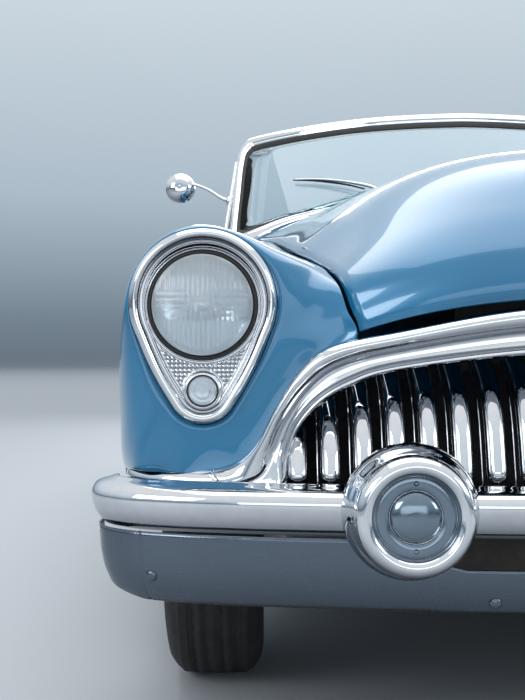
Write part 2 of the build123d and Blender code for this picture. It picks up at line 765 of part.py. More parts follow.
# ---------------------------------------------------------------- rear axle
with BuildPart() as rear_axle:
    add(bar(38, (-wheel_hub_x + 8, rear_axle_y, wheel_z), (wheel_hub_x - 8, rear_axle_y, wheel_z)))
    add(bar(axle_housing_radius, (-80, rear_axle_y, wheel_z), (80, rear_axle_y, wheel_z)))
    add(bar(spindle_radius, (-spindle_end_x, rear_axle_y, wheel_z), (spindle_end_x, rear_axle_y, wheel_z)))
    for side in (-1, 1):
        spring_top = 480 - rail_depth / 2 - seat_gap
        add(bar(45, (side * rail_x, rear_axle_y, wheel_z), (side * rail_x, rear_axle_y, spring_top)))
keep(rear_axle.part, "rear_axle")

# ---------------------------------------------------------------- wheels
hub_radius = 60
drum_radius = 140
rim_wall = 10


def wheel_at(y):
    """A left wheel: rim, disc, hub, brake drum and dished cover, with a blind bore for its spindle."""

    def ring(radius, x_from, x_to, mode=Mode.ADD):
        add(bar(radius, (x_from, y, wheel_z), (x_to, y, wheel_z)), mode=mode)

    with BuildPart() as wheel:
        ring(rim_radius - seat_gap, wheel_x - 92, wheel_x + 92)
        ring(rim_radius - rim_wall, wheel_x - 93, wheel_x + 50, Mode.SUBTRACT)
        ring(rim_radius - rim_wall, wheel_x + 62, wheel_x + 93, Mode.SUBTRACT)
        ring(hub_radius, wheel_hub_x, wheel_x + 62)
        ring(drum_radius, wheel_hub_x, wheel_x - 10)
        with BuildSketch(Plane.YZ.offset(wheel_x + 61)):
            with Locations((y, wheel_z)):
                Circle(rim_radius - 30)
        with BuildSketch(Plane.YZ.offset(wheel_x + 84)):
            with Locations((y, wheel_z)):
                Circle(hub_radius)
        loft()
        ring(spindle_radius + pin_gap, wheel_hub_x - 1, spindle_end_x + 6, Mode.SUBTRACT)
    return wheel.part


def tyre_at(y):
    """A left tyre with rounded shoulders."""
    with BuildPart() as tyre:
        half = tyre_width / 2
        add(bar(tyre_radius, (wheel_x - half, y, wheel_z), (wheel_x + half, y, wheel_z)))
        rims = tyre.edges().filter_by(GeomType.CIRCLE)
        fillet(rims, radius=48)
        inside = bar(rim_radius, (wheel_x - half - 1, y, wheel_z), (wheel_x + half + 1, y, wheel_z))
        add(inside, mode=Mode.SUBTRACT)
    return tyre.part


for place, axle_y in (("front", front_axle_y), ("rear", rear_axle_y)):
    wheel, tyre = wheel_at(axle_y), tyre_at(axle_y)
    keep(wheel, f"wheel_{place}_left")
    keep(mirrored(wheel), f"wheel_{place}_right")
    keep(tyre, f"tyre_{place}_left")
    keep(mirrored(tyre), f"tyre_{place}_right")

# ---------------------------------------------------------------- tail
rear_arch_radius = 395
house_radius = 405
well_x = house_x + 120
lid_low_z = 560
tail_inside = tail_hull.moved(Location((-wall, -wall, -wall)))
tail_shell = combined(tail_hull, less=[tail_inside])
trim_x = (cabin_x, cabin_x + sheet)
front_plate = combined(
    tail_hull, within=[slab((cabin_x, 1100), (quarter_front_y, quarter_front_y + wall), (floor_top_z, 1300))]
)
trim_panel = combined(
    slab(trim_x, (quarter_front_y, cabin_rear_y), (floor_top_z, 1300)),
    within=[tail_hull.moved(Location((0, 0, -wall / 2)))],
)
below_belt = (0, 1300)
quarter_left = combined(
    tail_shell,
    front_plate,
    trim_panel,
    less=[
        slab((-1, cabin_x), (quarter_front_y - 1, cabin_rear_y), below_belt),
        slab((-1, well_x), (cabin_rear_y - 1, well_rear_y), below_belt),
        slab((-1, lid_x), (well_rear_y - 1, rear_y), below_belt),
        bar(house_radius + 1, (house_x - 100, rear_axle_y, wheel_z), (house_x + 250, rear_axle_y, wheel_z)),
        bar(rear_arch_radius, (house_x + 249, rear_axle_y, wheel_z), (1200, rear_axle_y, wheel_z)),
    ],
)
keep(quarter_left, "quarter_panel_left")
keep(mirrored(quarter_left), "quarter_panel_right")

house = combined(
    bar(house_radius, (house_x, rear_axle_y, wheel_z), (900, rear_axle_y, wheel_z)),
    less=[
        bar(rear_arch_radius, (house_x + 12, rear_axle_y, wheel_z), (901, rear_axle_y, wheel_z)),
        slab((house_x - 1, 901), (rear_axle_y - 500, rear_axle_y + 500), (-100, 330)),
        bar(70, (house_x - 1, rear_axle_y, wheel_z), (house_x + 13, rear_axle_y, wheel_z)),
        slab((house_x - 1, house_x + 13), (rear_axle_y - 70, rear_axle_y + 70), (0, wheel_z)),
    ],
)
keep(both(house), "rear_wheelhouses")

under_lid = tail_hull.moved(Location((-wall, -wall, -wall - seat_gap)))
under_gutter = tail_hull.moved(Location((-wall, -wall, -wall - seat_gap - ledge_depth)))
gutter_x = (-1, lid_x - seat_gap)
gutter = combined(
    under_lid, less=[under_gutter], within=[slab(gutter_x, (lid_front_y - lid_gap - 1, lid_front_y + 25), (600, 1300))]
)
deck_half = combined(
    tail_hull, less=[under_gutter], within=[slab(gutter_x, (well_rear_y, lid_front_y - lid_gap), (600, 1300))]
)
deck_half = combined(deck_half, gutter)
keep(both(deck_half), "rear_deck_panel")
panel_half = combined(
    tail_shell, within=[slab((-1, lid_x - seat_gap), (tail_y - wall, rear_y), (0, lid_low_z - lid_gap))]
)
tail_panel = combined(
    both(panel_half),
    less=[
        bar(plate_hole_radius, (plate_hole_x, tail_y - 2 * wall, 515), (plate_hole_x, rear_y, 515)),
        bar(plate_hole_radius, (-plate_hole_x, tail_y - 2 * wall, 515), (-plate_hole_x, rear_y, 515)),
    ],
)
keep(tail_panel, "tail_panel")
lid_half = combined(
    tail_shell, within=[slab((-1, lid_x - lid_gap), (lid_front_y, rear_y), (lid_low_z, 1300))]
)
boot_lid = both(lid_half)
keep(boot_lid, "boot_lid")

tray_z = 880
with BuildPart() as hood_well:
    tray_x = (-floor_rear_half, floor_rear_half)
    add(slab(tray_x, (cabin_rear_y - 10, cabin_rear_y + 8), (boot_floor_z + seat_gap, tray_z)))
    add(slab(tray_x, (cabin_rear_y - 10, well_rear_y + 40), (tray_z - sheet, tray_z)))
keep(hood_well.part, "hood_well")

tail_lamp_x = half_width - 226
tail_lamp_z = 700
tail_lamp = bar(45, (tail_lamp_x, tail_y + seat_gap, tail_lamp_z), (tail_lamp_x, tail_y + 40, tail_lamp_z))
keep(both(tail_lamp), "tail_lamps")

# ---------------------------------------------------------------- doors
door_low_z = 360
door_step = 10
swing_gap = 5.5  # between the door's front face and the wing's edge, as the door swings round it
elbow_x = 56  # how far inwards the hinge's arm goes before it turns back into the door
arm_half = 8
arm_slant = tan(radians(30))

CovePoint = namedtuple("CovePoint", "z bulge")
# How far the door's skin stands beyond half_width at each height.
door_bulge = [
    CovePoint(300, -16),
    CovePoint(360, -10.5),
    CovePoint(400, -7.5),
    CovePoint(480, -3),
    CovePoint(600, 0),
    CovePoint(640, 4.5),
    CovePoint(680, 10.4),
    CovePoint(720, 12.4),
    CovePoint(760, 10.3),
    CovePoint(800, 4.3),
    CovePoint(840, -6),
    CovePoint(880, -21),
    CovePoint(920, -40),
    CovePoint(1100, -40),
]


def cove_radius(bulge):
    """The circle round the hinge pin that the wing's rear edge stays in, as seen from the swinging door."""
    reach = max(0, half_width + bulge - door_hinge_x)
    return sqrt(reach**2 + (door_front_y - shut_gap - door_hinge_y) ** 2) + swing_gap


def door_outline():
    """Inner face, over the top, down the outer side to the lower edge."""
    crown, side, low = (belt_top_x, belt_z), (half_width, belly_z), (low_edge_x + 5.4, door_low_z)
    shoulder = (crown[0] + 0.72 * (side[0] - crown[0]), side[1] + 0.72 * (crown[1] - side[1]))
    belly = ((side[0] + low[0]) / 2 + 2.7, (side[1] + low[1]) / 2)
    inner_top = (door_inner_x, belt_z - 6)
    return (door_inner_x, door_low_z), (inner_top,), (crown,), (shoulder, side), (belly, low)


hinge_line = Axis((door_hinge_x, door_hinge_y, 0), (0, 0, 1))
with BuildPart() as door_cove:
    with BuildSketch(Plane(origin=(door_hinge_x, door_hinge_y, 0), x_dir=(1, 0, 0), z_dir=(0, -1, 0))):
        with BuildLine():
            rim_points = [(cove_radius(point.bulge), point.z) for point in door_bulge]
            Polyline((0, door_bulge[0].z), *rim_points, (0, door_bulge[-1].z), close=True)
        make_face()
    revolve(axis=hinge_line)

with BuildPart() as door_left:
    with BuildSketch(at_y(door_front_y)) as door_section:
        add(outline(at_y(door_front_y), *door_outline()))
    extrude(amount=-door_length)
    step_x = (door_inner_x - 1, door_inner_x + 48)
    inner_corner = slab(step_x, (door_rear_y - door_step, door_rear_y + 1), (0, 1300))
    add(inner_corner, mode=Mode.SUBTRACT)
    add(door_cove.part, mode=Mode.SUBTRACT)
    belt_rail_y = (door_front_y + 20, door_rear_y - 25)
    add(slab((door_inner_x - 47, door_inner_x + 1), belt_rail_y, (belt_z - 66, belt_z - 8)))
    for z in hinge_heights:
        low, high = z - hinge_arm_height / 2, z + hinge_arm_height / 2
        near_x, far_x = elbow_x - arm_half, elbow_x + arm_half
        root_y = door_front_y - door_hinge_y + 30
        with BuildSketch(Plane(origin=(door_hinge_x, door_hinge_y, low))):
            with BuildLine():
                Polyline(
                    (4, 7),
                    (-near_x, 7 + (near_x + 4) * arm_slant),
                    (-near_x, root_y),
                    (-far_x, root_y),
                    (-far_x, -7 + (far_x - 4) * arm_slant),
                    (-4, -7),
                    close=True,
                )
            make_face()
        extrude(amount=hinge_arm_height)
        pin_from, pin_to = (door_hinge_x, door_hinge_y, low), (door_hinge_x, door_hinge_y, high)
        add(bar(hinge_eye_radius, pin_from, pin_to))
        add(bar(hinge_pin_radius + pin_gap, pin_from, pin_to), mode=Mode.SUBTRACT)
keep(door_left.part, "door_left")
keep(mirrored(door_left.part), "door_right")

vent_lean = 6.5
vent_x = door_inner_x - 39
vent_rear_y = door_front_y + 465
vent_frame = 14
vent_base_z = belt_z - 8 + seat_gap + vent_frame / 2 * sin(radians(vent_lean))
vent_plane = Plane(
    origin=(vent_x, 0, vent_base_z),
    x_dir=(0, 1, 0),
    z_dir=(cos(radians(vent_lean)), 0, sin(radians(vent_lean))),
)
VentCorner = namedtuple("VentCorner", "y height")
vent_outer = [
    VentCorner(vent_rear_y - 352, 0),
    VentCorner(vent_rear_y, 0),
    VentCorner(vent_rear_y, 372),
    VentCorner(vent_rear_y - 25, 375),
]
vent_inner = [
    VentCorner(vent_rear_y - 322, 14),
    VentCorner(vent_rear_y - 14, 14),
    VentCorner(vent_rear_y - 14, 352),
    VentCorner(vent_rear_y - 20, 355),
]
with BuildPart() as vent_left:
    with BuildSketch(vent_plane.offset(-vent_frame / 2)):
        with BuildLine():
            Polyline(*vent_outer, close=True)
        make_face()
        with BuildLine():
            Polyline(*vent_inner, close=True)
        make_face(mode=Mode.SUBTRACT)
    extrude(amount=vent_frame)
    with BuildSketch(vent_plane.offset(-2)):
        with BuildLine():
            Polyline(*vent_inner, close=True)
        make_face()
    extrude(amount=4)
keep(vent_left.part, "vent_window_left")
keep(mirrored(vent_left.part), "vent_window_right")

mirror_x = vent_x + 147
mirror_z = 1270
mirror_y = door_front_y + 325
mirror_radius = 50
with BuildPart() as mirror_left:
    add(bar(mirror_radius, (mirror_x, mirror_y - 28, mirror_z), (mirror_x, mirror_y + 28, mirror_z)))
    arm_z = mirror_z - 40
    arm_foot_x = vent_x - (arm_z - vent_base_z) * tan(radians(vent_lean))
    add(bar(7, (mirror_x - 30, mirror_y - 10, mirror_z - 8), (arm_foot_x, mirror_y - 10, arm_z)))
    add(vent_left.part, mode=Mode.SUBTRACT)
keep(mirror_left.part, "mirror_left")
keep(mirrored(mirror_left.part), "mirror_right")

# ---------------------------------------------------------------- cabin
dash_low_z = 850
dash_x = 755
with BuildPart() as dashboard:
    dash_depth = dash_rear_y - cowl_rear_y - seat_gap
    add(pushed(outline(at_y(cowl_rear_y + seat_gap), *arch_outline(bonnet_rows[-1])), -dash_depth))
    add(slab((-dash_x, dash_x), (cowl_rear_y, dash_rear_y), (dash_low_z, 1300)), mode=Mode.INTERSECT)
keep(dashboard.part, "dashboard")

wheel_centre_x = 380
wheel_centre_y = dash_rear_y + 270
wheel_centre_z = 920
column_slope = 0.45  # how far the column rises for each unit back
column_radius = 22
column_shaft_radius = 9
steering_rim_radius = 215
steering_tube_radius = 11
steering_hub_radius = 38
steering_hub_depth = 50


def column_point(distance):
    """A point on the column, so far ahead of the steering wheel's centre."""
    run = (1 + column_slope**2) ** 0.5
    return (wheel_centre_x, wheel_centre_y - distance / run, wheel_centre_z - distance * column_slope / run)


column_length = (wheel_centre_y - firewall_y - sheet) * (1 + column_slope**2) ** 0.5
with BuildPart() as steering_column:
    add(bar(column_radius, column_point(column_length + 30), column_point(steering_hub_depth / 2 + 4)))
    add(bar(column_shaft_radius, column_point(column_length), column_point(-steering_hub_depth / 2)))
    hanger_y = (dash_rear_y - 40, dash_rear_y - 20)
    add(slab((wheel_centre_x - 20, wheel_centre_x + 20), hanger_y, (790, dash_low_z - seat_gap)))
    firewall_cut = slab((0, 800), (firewall_y - 60, firewall_y + sheet + seat_gap), (0, 1000))
    add(firewall_cut, mode=Mode.SUBTRACT)
keep(steering_column.part, "steering_column")

wheel_plane = Plane(origin=column_point(0), x_dir=(1, 0, 0), z_dir=(0, 1, column_slope))
with BuildPart(wheel_plane) as steering_wheel:
    Torus(steering_rim_radius, steering_tube_radius)
    Cylinder(steering_hub_radius, steering_hub_depth)
    with Locations((0, 0, 0)):
        Box(2 * steering_rim_radius, 26, 12)
    Cylinder(column_shaft_radius + pin_gap, steering_hub_depth, mode=Mode.SUBTRACT)
keep(steering_wheel.part, "steering_wheel")


def side_prism(half, *points):
    """A shape drawn in side view as (Y, Z) points and pushed to both sides."""
    with BuildPart() as solid:
        with BuildSketch(Plane.YZ):
            with BuildLine():
                Polyline(*points, close=True)
            make_face()
        extrude(amount=half, both=True)
    return solid.part


seat_y = dash_rear_y + 410  # front edge of the front seat
seat_half = house_x - 15  # half width of what lies between the wheelhouses
on_floor = floor_top_z + seat_gap
on_boot_floor = boot_floor_z + seat_gap
over_tunnel = slab((-tunnel_x - seat_gap, tunnel_x + seat_gap), (-1000, step_y), (0, tunnel_z + seat_gap))
front_seat = combined(
    side_prism(
        cabin_x - 82,
        (seat_y, on_floor),
        (seat_y, 590),
        (seat_y + 480, 560),
        (seat_y + 575, 1000),
        (seat_y + 660, 985),
        (seat_y + 590, on_floor),
    ),
    less=[over_tunnel],
)
keep(front_seat, "front_seat")
rear_seat = combined(
    side_prism(
        seat_half,
        (step_y - 190, on_floor),
        (step_y - 190, 600),
        (step_y + 130, 590),
        (cabin_rear_y - 110, 1010),
        (cabin_rear_y - 10 - seat_gap, 1000),
        (cabin_rear_y - 10 - seat_gap, on_boot_floor),
        (step_y - seat_gap, on_boot_floor),
        (step_y - seat_gap, on_floor),
    ),
    less=[over_tunnel],
)
keep(rear_seat, "rear_seat")

folded_hood = side_prism(
    seat_half,
    (cabin_rear_y + 20, tray_z + seat_gap),
    (cabin_rear_y + 20, 1040),
    (cabin_rear_y + 80, 1085),
    (well_rear_y - 120, 1075),
    (well_rear_y - 20, 1000),
    (well_rear_y - 20, tray_z + seat_gap),
)
keep(folded_hood, "folded_hood")
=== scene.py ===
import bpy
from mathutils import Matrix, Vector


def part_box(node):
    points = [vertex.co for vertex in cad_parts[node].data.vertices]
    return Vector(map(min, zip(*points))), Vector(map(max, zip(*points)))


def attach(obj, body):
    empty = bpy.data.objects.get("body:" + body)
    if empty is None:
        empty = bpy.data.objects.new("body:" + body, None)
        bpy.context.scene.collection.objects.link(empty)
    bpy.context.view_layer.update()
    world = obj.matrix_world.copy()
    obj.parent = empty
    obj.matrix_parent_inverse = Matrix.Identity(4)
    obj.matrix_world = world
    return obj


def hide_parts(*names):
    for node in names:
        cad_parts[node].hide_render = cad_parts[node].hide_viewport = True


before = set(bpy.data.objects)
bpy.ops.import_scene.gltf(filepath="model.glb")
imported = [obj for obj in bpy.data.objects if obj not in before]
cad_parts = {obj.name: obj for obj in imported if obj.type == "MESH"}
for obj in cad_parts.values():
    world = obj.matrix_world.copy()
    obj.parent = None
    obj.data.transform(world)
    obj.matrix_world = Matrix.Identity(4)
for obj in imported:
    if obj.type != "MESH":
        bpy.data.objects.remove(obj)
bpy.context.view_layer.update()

from math import cos, pi, radians, sin

import bpy
import numpy as np
from mathutils import Vector
from mathutils.bvhtree import BVHTree

# ------------------------------------------------------------------ studio
# A pale floor and a pale room round it, lit softly from above and from both sides, and a camera low in
# front of the car's right half, level with the lamps.


def shader(name, **sockets):
    """A new material: its node tree and its Principled shader, with the sockets named set to plain values."""
    material = bpy.data.materials.new(name)
    material.use_nodes = True
    node = material.node_tree.nodes["Principled BSDF"]
    for socket, value in sockets.items():
        node.inputs[socket.replace("_", " ")].default_value = value
    return material, material.node_tree, node


def linked(tree, kind, inputs=None, **settings):
    """A new node in a tree, with its settings made and its inputs joined to sockets or set to values."""
    node = tree.nodes.new(kind)
    for key, value in settings.items():
        setattr(node, key, value)
    for key, value in (inputs or {}).items():
        if isinstance(value, bpy.types.NodeSocket):
            tree.links.new(value, node.inputs[key])
        else:
            node.inputs[key].default_value = value
    return node


def ramp(tree, factor, *stops):
    """A colour ramp over a factor, each stop a (place, grey or colour) pair."""
    node = linked(tree, "ShaderNodeValToRGB", {"Fac": factor})
    elements = node.color_ramp.elements
    while len(elements) < len(stops):
        elements.new(0.5)
    for element, (place, shade) in zip(elements, stops):
        element.position = place
        element.color = (*shade, 1) if isinstance(shade, tuple) else (shade, shade, shade, 1)
    return node.outputs["Color"]


def object_place(tree):
    """Where a point lies in its object's own frame."""
    return linked(tree, "ShaderNodeTexCoord").outputs["Object"]


def noise(tree, place, scale, detail, roughness=0.5):
    """Cloudy noise over a place, or over the shader's own coordinates, as a factor."""
    inputs = {"Scale": scale, "Detail": detail, "Roughness": roughness}
    if place is not None:
        inputs["Vector"] = place
    return linked(tree, "ShaderNodeTexNoise", inputs).outputs["Fac"]


def two_tones(tree, factor, first, second):
    """Two colours mixed by a factor."""
    return linked(
        tree, "ShaderNodeMix", {"Factor": factor, "A": first, "B": second}, data_type="RGBA",
    ).outputs["Result"]


def bumped(tree, node, height, strength, distance):
    """Joins a height to a shader's normal as bump."""
    bump = linked(tree, "ShaderNodeBump", {"Height": height, "Strength": strength, "Distance": distance})
    tree.links.new(bump.outputs["Normal"], node.inputs["Normal"])


def surface(name, x, y, z, material, body=None, wrap_rows=False, wrap_columns=False, caps=False, facing=None):
    """A quad mesh over a grid of points, whose rows or columns may close up. A first axis of three is copies.

    A sheet is turned to face a direction, by the sum of its cells' area vectors. A closed form is turned
    outwards, by the sum of the volumes between its cells and its middle."""
    x, y, z = np.broadcast_arrays(x, y, z)
    rows, columns = x.shape[-2:]
    points = np.stack([x, y, z], axis=-1).reshape(-1, 3)
    copies = np.arange(0, len(points), rows * columns)[:, None, None]
    index = copies + np.arange(rows * columns).reshape(rows, columns)
    if wrap_rows:
        index = np.concatenate([index, index[:, :1]], axis=1)
    if wrap_columns:
        index = np.concatenate([index, index[:, :, :1]], axis=2)
    corners = [index[:, :-1, :-1], index[:, 1:, :-1], index[:, 1:, 1:], index[:, :-1, 1:]]
    a, b, c, d = (points[corner] - points.mean(axis=0) for corner in corners)
    area = np.cross(c - a, d - b)
    middle = points.reshape(len(copies), -1, 3).mean(axis=1)[:, None, None] - points.mean(axis=0)
    sense = area.sum(axis=(0, 1, 2)) @ facing if facing else np.sum(area * ((a + b + c + d) / 4 - middle))
    turn = 1 if sense > 0 else -1
    faces = np.stack(corners[::turn], axis=-1).reshape(-1, 4).tolist()
    if caps:
        faces += index[:, 0, :columns][:, ::turn].tolist() + index[:, -1, :columns][:, ::-turn].tolist()
    return piece(name, points, faces, material, body)


def solid(name, grid, material, body):
    """A closed form whose rows are rings round it, with both its ends capped."""
    return surface(name, *grid, material, body, wrap_columns=True, caps=True)


def hoop(name, grid, material, body):
    """A closed form whose grid joins up both ways, as a ring's does."""
    return surface(name, *grid, material, body, wrap_rows=True, wrap_columns=True)


def piece(name, points, faces, material, body=None):
    """One mesh object from points and faces, smooth, with one material, riding on a body."""
    mesh = bpy.data.meshes.new(name)
    mesh.from_pydata(np.asarray(points, float).tolist(), [], faces)
    mesh.validate()
    mesh.shade_smooth()
    mesh.materials.append(material)
    made = bpy.data.objects.new(name, mesh)
    bpy.context.collection.objects.link(made)
    if body:
        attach(made, body)
    return made


floor_paint, tree, node = shader("studio_floor", Roughness=0.55)
grain = noise(tree, None, 3.0, 3.0)
tree.links.new(
    ramp(tree, grain, (0.3, (0.46, 0.49, 0.52)), (0.7, (0.5, 0.53, 0.56))), node.inputs["Base Color"],
)
away = linked(
    tree, "ShaderNodeVectorMath", {0: linked(tree, "ShaderNodeTexCoord").outputs["Object"]},
    operation="LENGTH",
)
fade = linked(
    tree, "ShaderNodeMapRange", {"Value": away.outputs["Value"], "From Min": 13.0, "From Max": 48.0},
    interpolation_type="SMOOTHSTEP",
)
clear = linked(tree, "ShaderNodeBsdfTransparent")
mixed = linked(
    tree, "ShaderNodeMixShader",
    {0: fade.outputs["Result"], 1: node.outputs["BSDF"], 2: clear.outputs["BSDF"]},
)
tree.links.new(mixed.outputs["Shader"], tree.nodes["Material Output"].inputs["Surface"])
span = np.linspace(-60, 60, 25)
across, along = np.meshgrid(span, span, indexing="ij")
surface("studio_floor", across, along, 0 * across, floor_paint, facing=(0, 0, 1))

world = bpy.data.worlds.new("studio")
bpy.context.scene.world = world
world.use_nodes = True
tree = world.node_tree
where = linked(tree, "ShaderNodeTexCoord")
height = linked(tree, "ShaderNodeSeparateXYZ", {"Vector": where.outputs["Generated"]})
half_up = linked(tree, "ShaderNodeMath", {0: height.outputs["Z"], 1: 0.5, 2: 0.5}, operation="MULTIPLY_ADD")
sky = ramp(
    tree, half_up.outputs["Value"], (0.0, (0.46, 0.49, 0.52)), (0.46, (0.36, 0.4, 0.45)),
    (0.497, (0.16, 0.2, 0.25)),
    (0.515, (0.2, 0.26, 0.32)), (0.57, (0.46, 0.56, 0.65)), (0.7, (0.78, 0.87, 0.94)),
    (0.92, (0.96, 0.98, 1.0)),
)
tree.links.new(sky, tree.nodes["Background"].inputs["Color"])
tree.nodes["Background"].inputs["Strength"].default_value = 0.9

soft_boxes = [
    # name, place, aimed at, width, height, watts
    ("overhead", (0.0, -0.6, 4.4), (0.0, -0.6, 0.0), 4.6, 6.5, 150),
    ("front_right", (-3.8, -5.2, 2.6), (-0.4, -1.8, 0.8), 2.2, 1.6, 60),
    ("front_left", (4.2, -4.4, 2.4), (0.3, -1.8, 0.8), 2.2, 1.6, 40),
    ("front_low", (-0.3, -9.0, 1.5), (-0.3, -2.0, 0.8), 6.5, 1.9, 45),
    ("rear", (0.5, 6.2, 3.2), (0.0, 1.6, 0.6), 4.0, 2.0, 110),
]
for name, place, aim, width, height_of, watts in soft_boxes:
    light = bpy.data.lights.new(name, "AREA")
    light.shape, light.size, light.size_y, light.energy = "RECTANGLE", width, height_of, watts
    lamp = bpy.data.objects.new(name, light)
    bpy.context.collection.objects.link(lamp)
    lamp.location = place
    lamp.visible_transmission = name != "rear"
    direction = Vector(aim) - Vector(place)
    lamp.rotation_euler = direction.to_track_quat("-Z", "Y").to_euler()

lens = bpy.data.cameras.new("camera")
lens.sensor_fit = "VERTICAL"
lens.sensor_height = 36
lens.sensor_width = 36
lens.lens = 56.26
lens.clip_start = 0.05
camera = bpy.data.objects.new("camera", lens)
bpy.context.collection.objects.link(camera)
camera.location = (-0.65, -4.25, 0.72)
camera.rotation_euler = (pi / 2, 0, 0)
bpy.context.scene.camera = camera
bpy.context.scene.view_settings.view_transform = "Standard"


# ------------------------------------------------------------------ front wings
# Pressed steel, sprayed in a deep gloss sky blue. Each runs from the lamp's bezel over the wheel to the
# door, with a concave valley between its crown and the bonnet.
SIDES = (("left", 1), ("right", -1))
AXLE_Y = -1.755
ARCH_RADIUS = 0.402
AXLE_Z, WHEEL_X = 0.355, 0.75
LAMP_X, LAMP_Z, PARK_Z = 0.751, 0.8, 0.651
WING_REAR_Y = -0.873
NOSE_JOIN_Y = -2.2


def through(knots, rows, at):
    """A smooth curve through rows at their knots: Hermite spans, each slope a mean of those beside it."""
    knots, rows, at = np.asarray(knots, float), np.asarray(rows, float), np.asarray(at, float)
    slopes = np.gradient(rows, knots, axis=0)
    span = np.clip(np.searchsorted(knots, at, side="right") - 1, 0, len(knots) - 2)
    width = knots[span + 1] - knots[span]
    shape = at.shape + (1,) * (rows.ndim - 1)
    t = ((at - knots[span]) / width).reshape(shape)
    width = width.reshape(shape)
    start, end = rows[span], rows[span + 1]
    bend = slopes[span] * width * (t**3 - 2 * t**2 + t) + slopes[span + 1] * width * (t**3 - t**2)
    return start * (2 * t**3 - 3 * t**2 + 1) + end * (3 * t**2 - 2 * t**3) + bend


def paced(points, count, closed=False):
    """Points along a polyline at even steps of its length."""
    points = np.asarray(points, float)
    if closed:
        points = np.vstack([points, points[:1]])
    steps = np.r_[0, np.cumsum(np.linalg.norm(np.diff(points, axis=0), axis=1))]
    at = np.linspace(0, steps[-1], count, endpoint=not closed)
    return np.stack([np.interp(at, steps, points[:, axis]) for axis in range(points.shape[1])], axis=-1)


def unit(rows):
    """Vectors scaled to a length of one, along their last axis."""
    return rows / np.linalg.norm(rows, axis=-1, keepdims=True)


def loop_course(points):
    """The direction of travel at each point of a closed line."""
    return unit(np.roll(points, -1, axis=0) - np.roll(points, 1, axis=0))


def once_round(count):
    """Angles once round at even steps."""
    return np.linspace(0, 2 * pi, count, endpoint=False)


def gathered(grids):
    """Several grids as the copies in one piece."""
    return np.moveaxis(np.array(grids), 1, 0)


def walled(made, thickness, even=True):
    """Gives a sheet its thickness inwards, with the edge closed."""
    wall = made.modifiers.new("wall", "SOLIDIFY")
    wall.thickness, wall.offset, wall.use_even_offset = thickness, -1.0, even
    return made


def smooth(value, low, high):
    """0 below low, 1 above high, and an even S between."""
    t = np.clip((value - low) / (high - low), 0, 1)
    return t * t * (3 - 2 * t)


def body_paint():
    """Gloss enamel with a slow drift of tone, faint orange peel, a clear coat and some dust low down."""
    material, tree, node = shader("sky_blue_enamel", Roughness=0.22, Metallic=0.15)
    node.inputs["Coat Weight"].default_value = 1.0
    node.inputs["Coat Roughness"].default_value = 0.03
    place = object_place(tree)
    drift = noise(tree, place, 2.2, 2.0)
    colour = ramp(tree, drift, (0.3, (0.006, 0.14, 0.29)), (0.7, (0.012, 0.19, 0.37)))
    low = linked(tree, "ShaderNodeSeparateXYZ", {"Vector": place}).outputs["Z"]
    dust = ramp(tree, low, (0.28, 0.16), (0.5, 0.0))
    mixed = two_tones(tree, dust, colour, (0.33, 0.34, 0.34, 1))
    tree.links.new(mixed, node.inputs["Base Color"])
    peel = noise(tree, place, 420.0, 1.0)
    bumped(tree, node, peel, 0.03, 0.0005)
    return material


paint = body_paint()

# The seam between wing and bonnet: y, x, z.
seam_line = np.array([
    (-2.402, 0.488, 0.742), (-2.39, 0.503, 0.788), (-2.362, 0.516, 0.83), (-2.25, 0.531, 0.864),
    (-2.03, 0.554, 0.899), (-1.65, 0.597, 0.958), (-1.405, 0.6257, 1.001), (-1.16, 0.655, 1.031),
    (-0.873, 0.69, 1.062),
])
# The body's side: y, crown x and z, shoulder x and z, widest x and z, belly x and z, lower edge x and z.
side_rows = np.array([
    (-2.2, 0.765, 0.943, 0.872, 0.868, 0.913, 0.725, 0.913, 0.6, 0.908, 0.512),
    (-1.98, 0.772, 0.95, 0.897, 0.872, 0.94, 0.722, 0.94, 0.56, 0.927, 0.4),
    (-1.755, 0.782, 0.956, 0.911, 0.878, 0.957, 0.72, 0.952, 0.53, 0.94, 0.32),
    (-1.25, 0.812, 0.982, 0.927, 0.89, 0.969, 0.725, 0.961, 0.54, 0.948, 0.3),
    (-0.873, 0.85, 1.016, 0.936, 0.902, 0.978, 0.725, 0.966, 0.56, 0.951, 0.3),
    (-0.45, 0.85, 1.016, 0.936, 0.902, 0.978, 0.725, 0.966, 0.56, 0.951, 0.3),
    (-0.05, 0.85, 1.016, 0.936, 0.902, 0.978, 0.725, 0.966, 0.56, 0.951, 0.3),
    (0.368, 0.85, 1.016, 0.936, 0.902, 0.978, 0.725, 0.966, 0.56, 0.951, 0.3),
    (0.9, 0.85, 1.012, 0.935, 0.9, 0.978, 0.725, 0.966, 0.56, 0.951, 0.3),
    (1.331, 0.846, 0.992, 0.932, 0.886, 0.976, 0.72, 0.964, 0.56, 0.946, 0.33),
    (1.9, 0.83, 0.95, 0.918, 0.855, 0.963, 0.715, 0.949, 0.56, 0.926, 0.4),
    (2.29, 0.805, 0.9, 0.885, 0.822, 0.928, 0.69, 0.912, 0.57, 0.881, 0.47),
    (2.43, 0.79, 0.86, 0.85, 0.802, 0.891, 0.68, 0.878, 0.575, 0.846, 0.48),
    (2.49, 0.765, 0.78, 0.806, 0.75, 0.838, 0.67, 0.826, 0.58, 0.8, 0.49),
])
FINE = 240


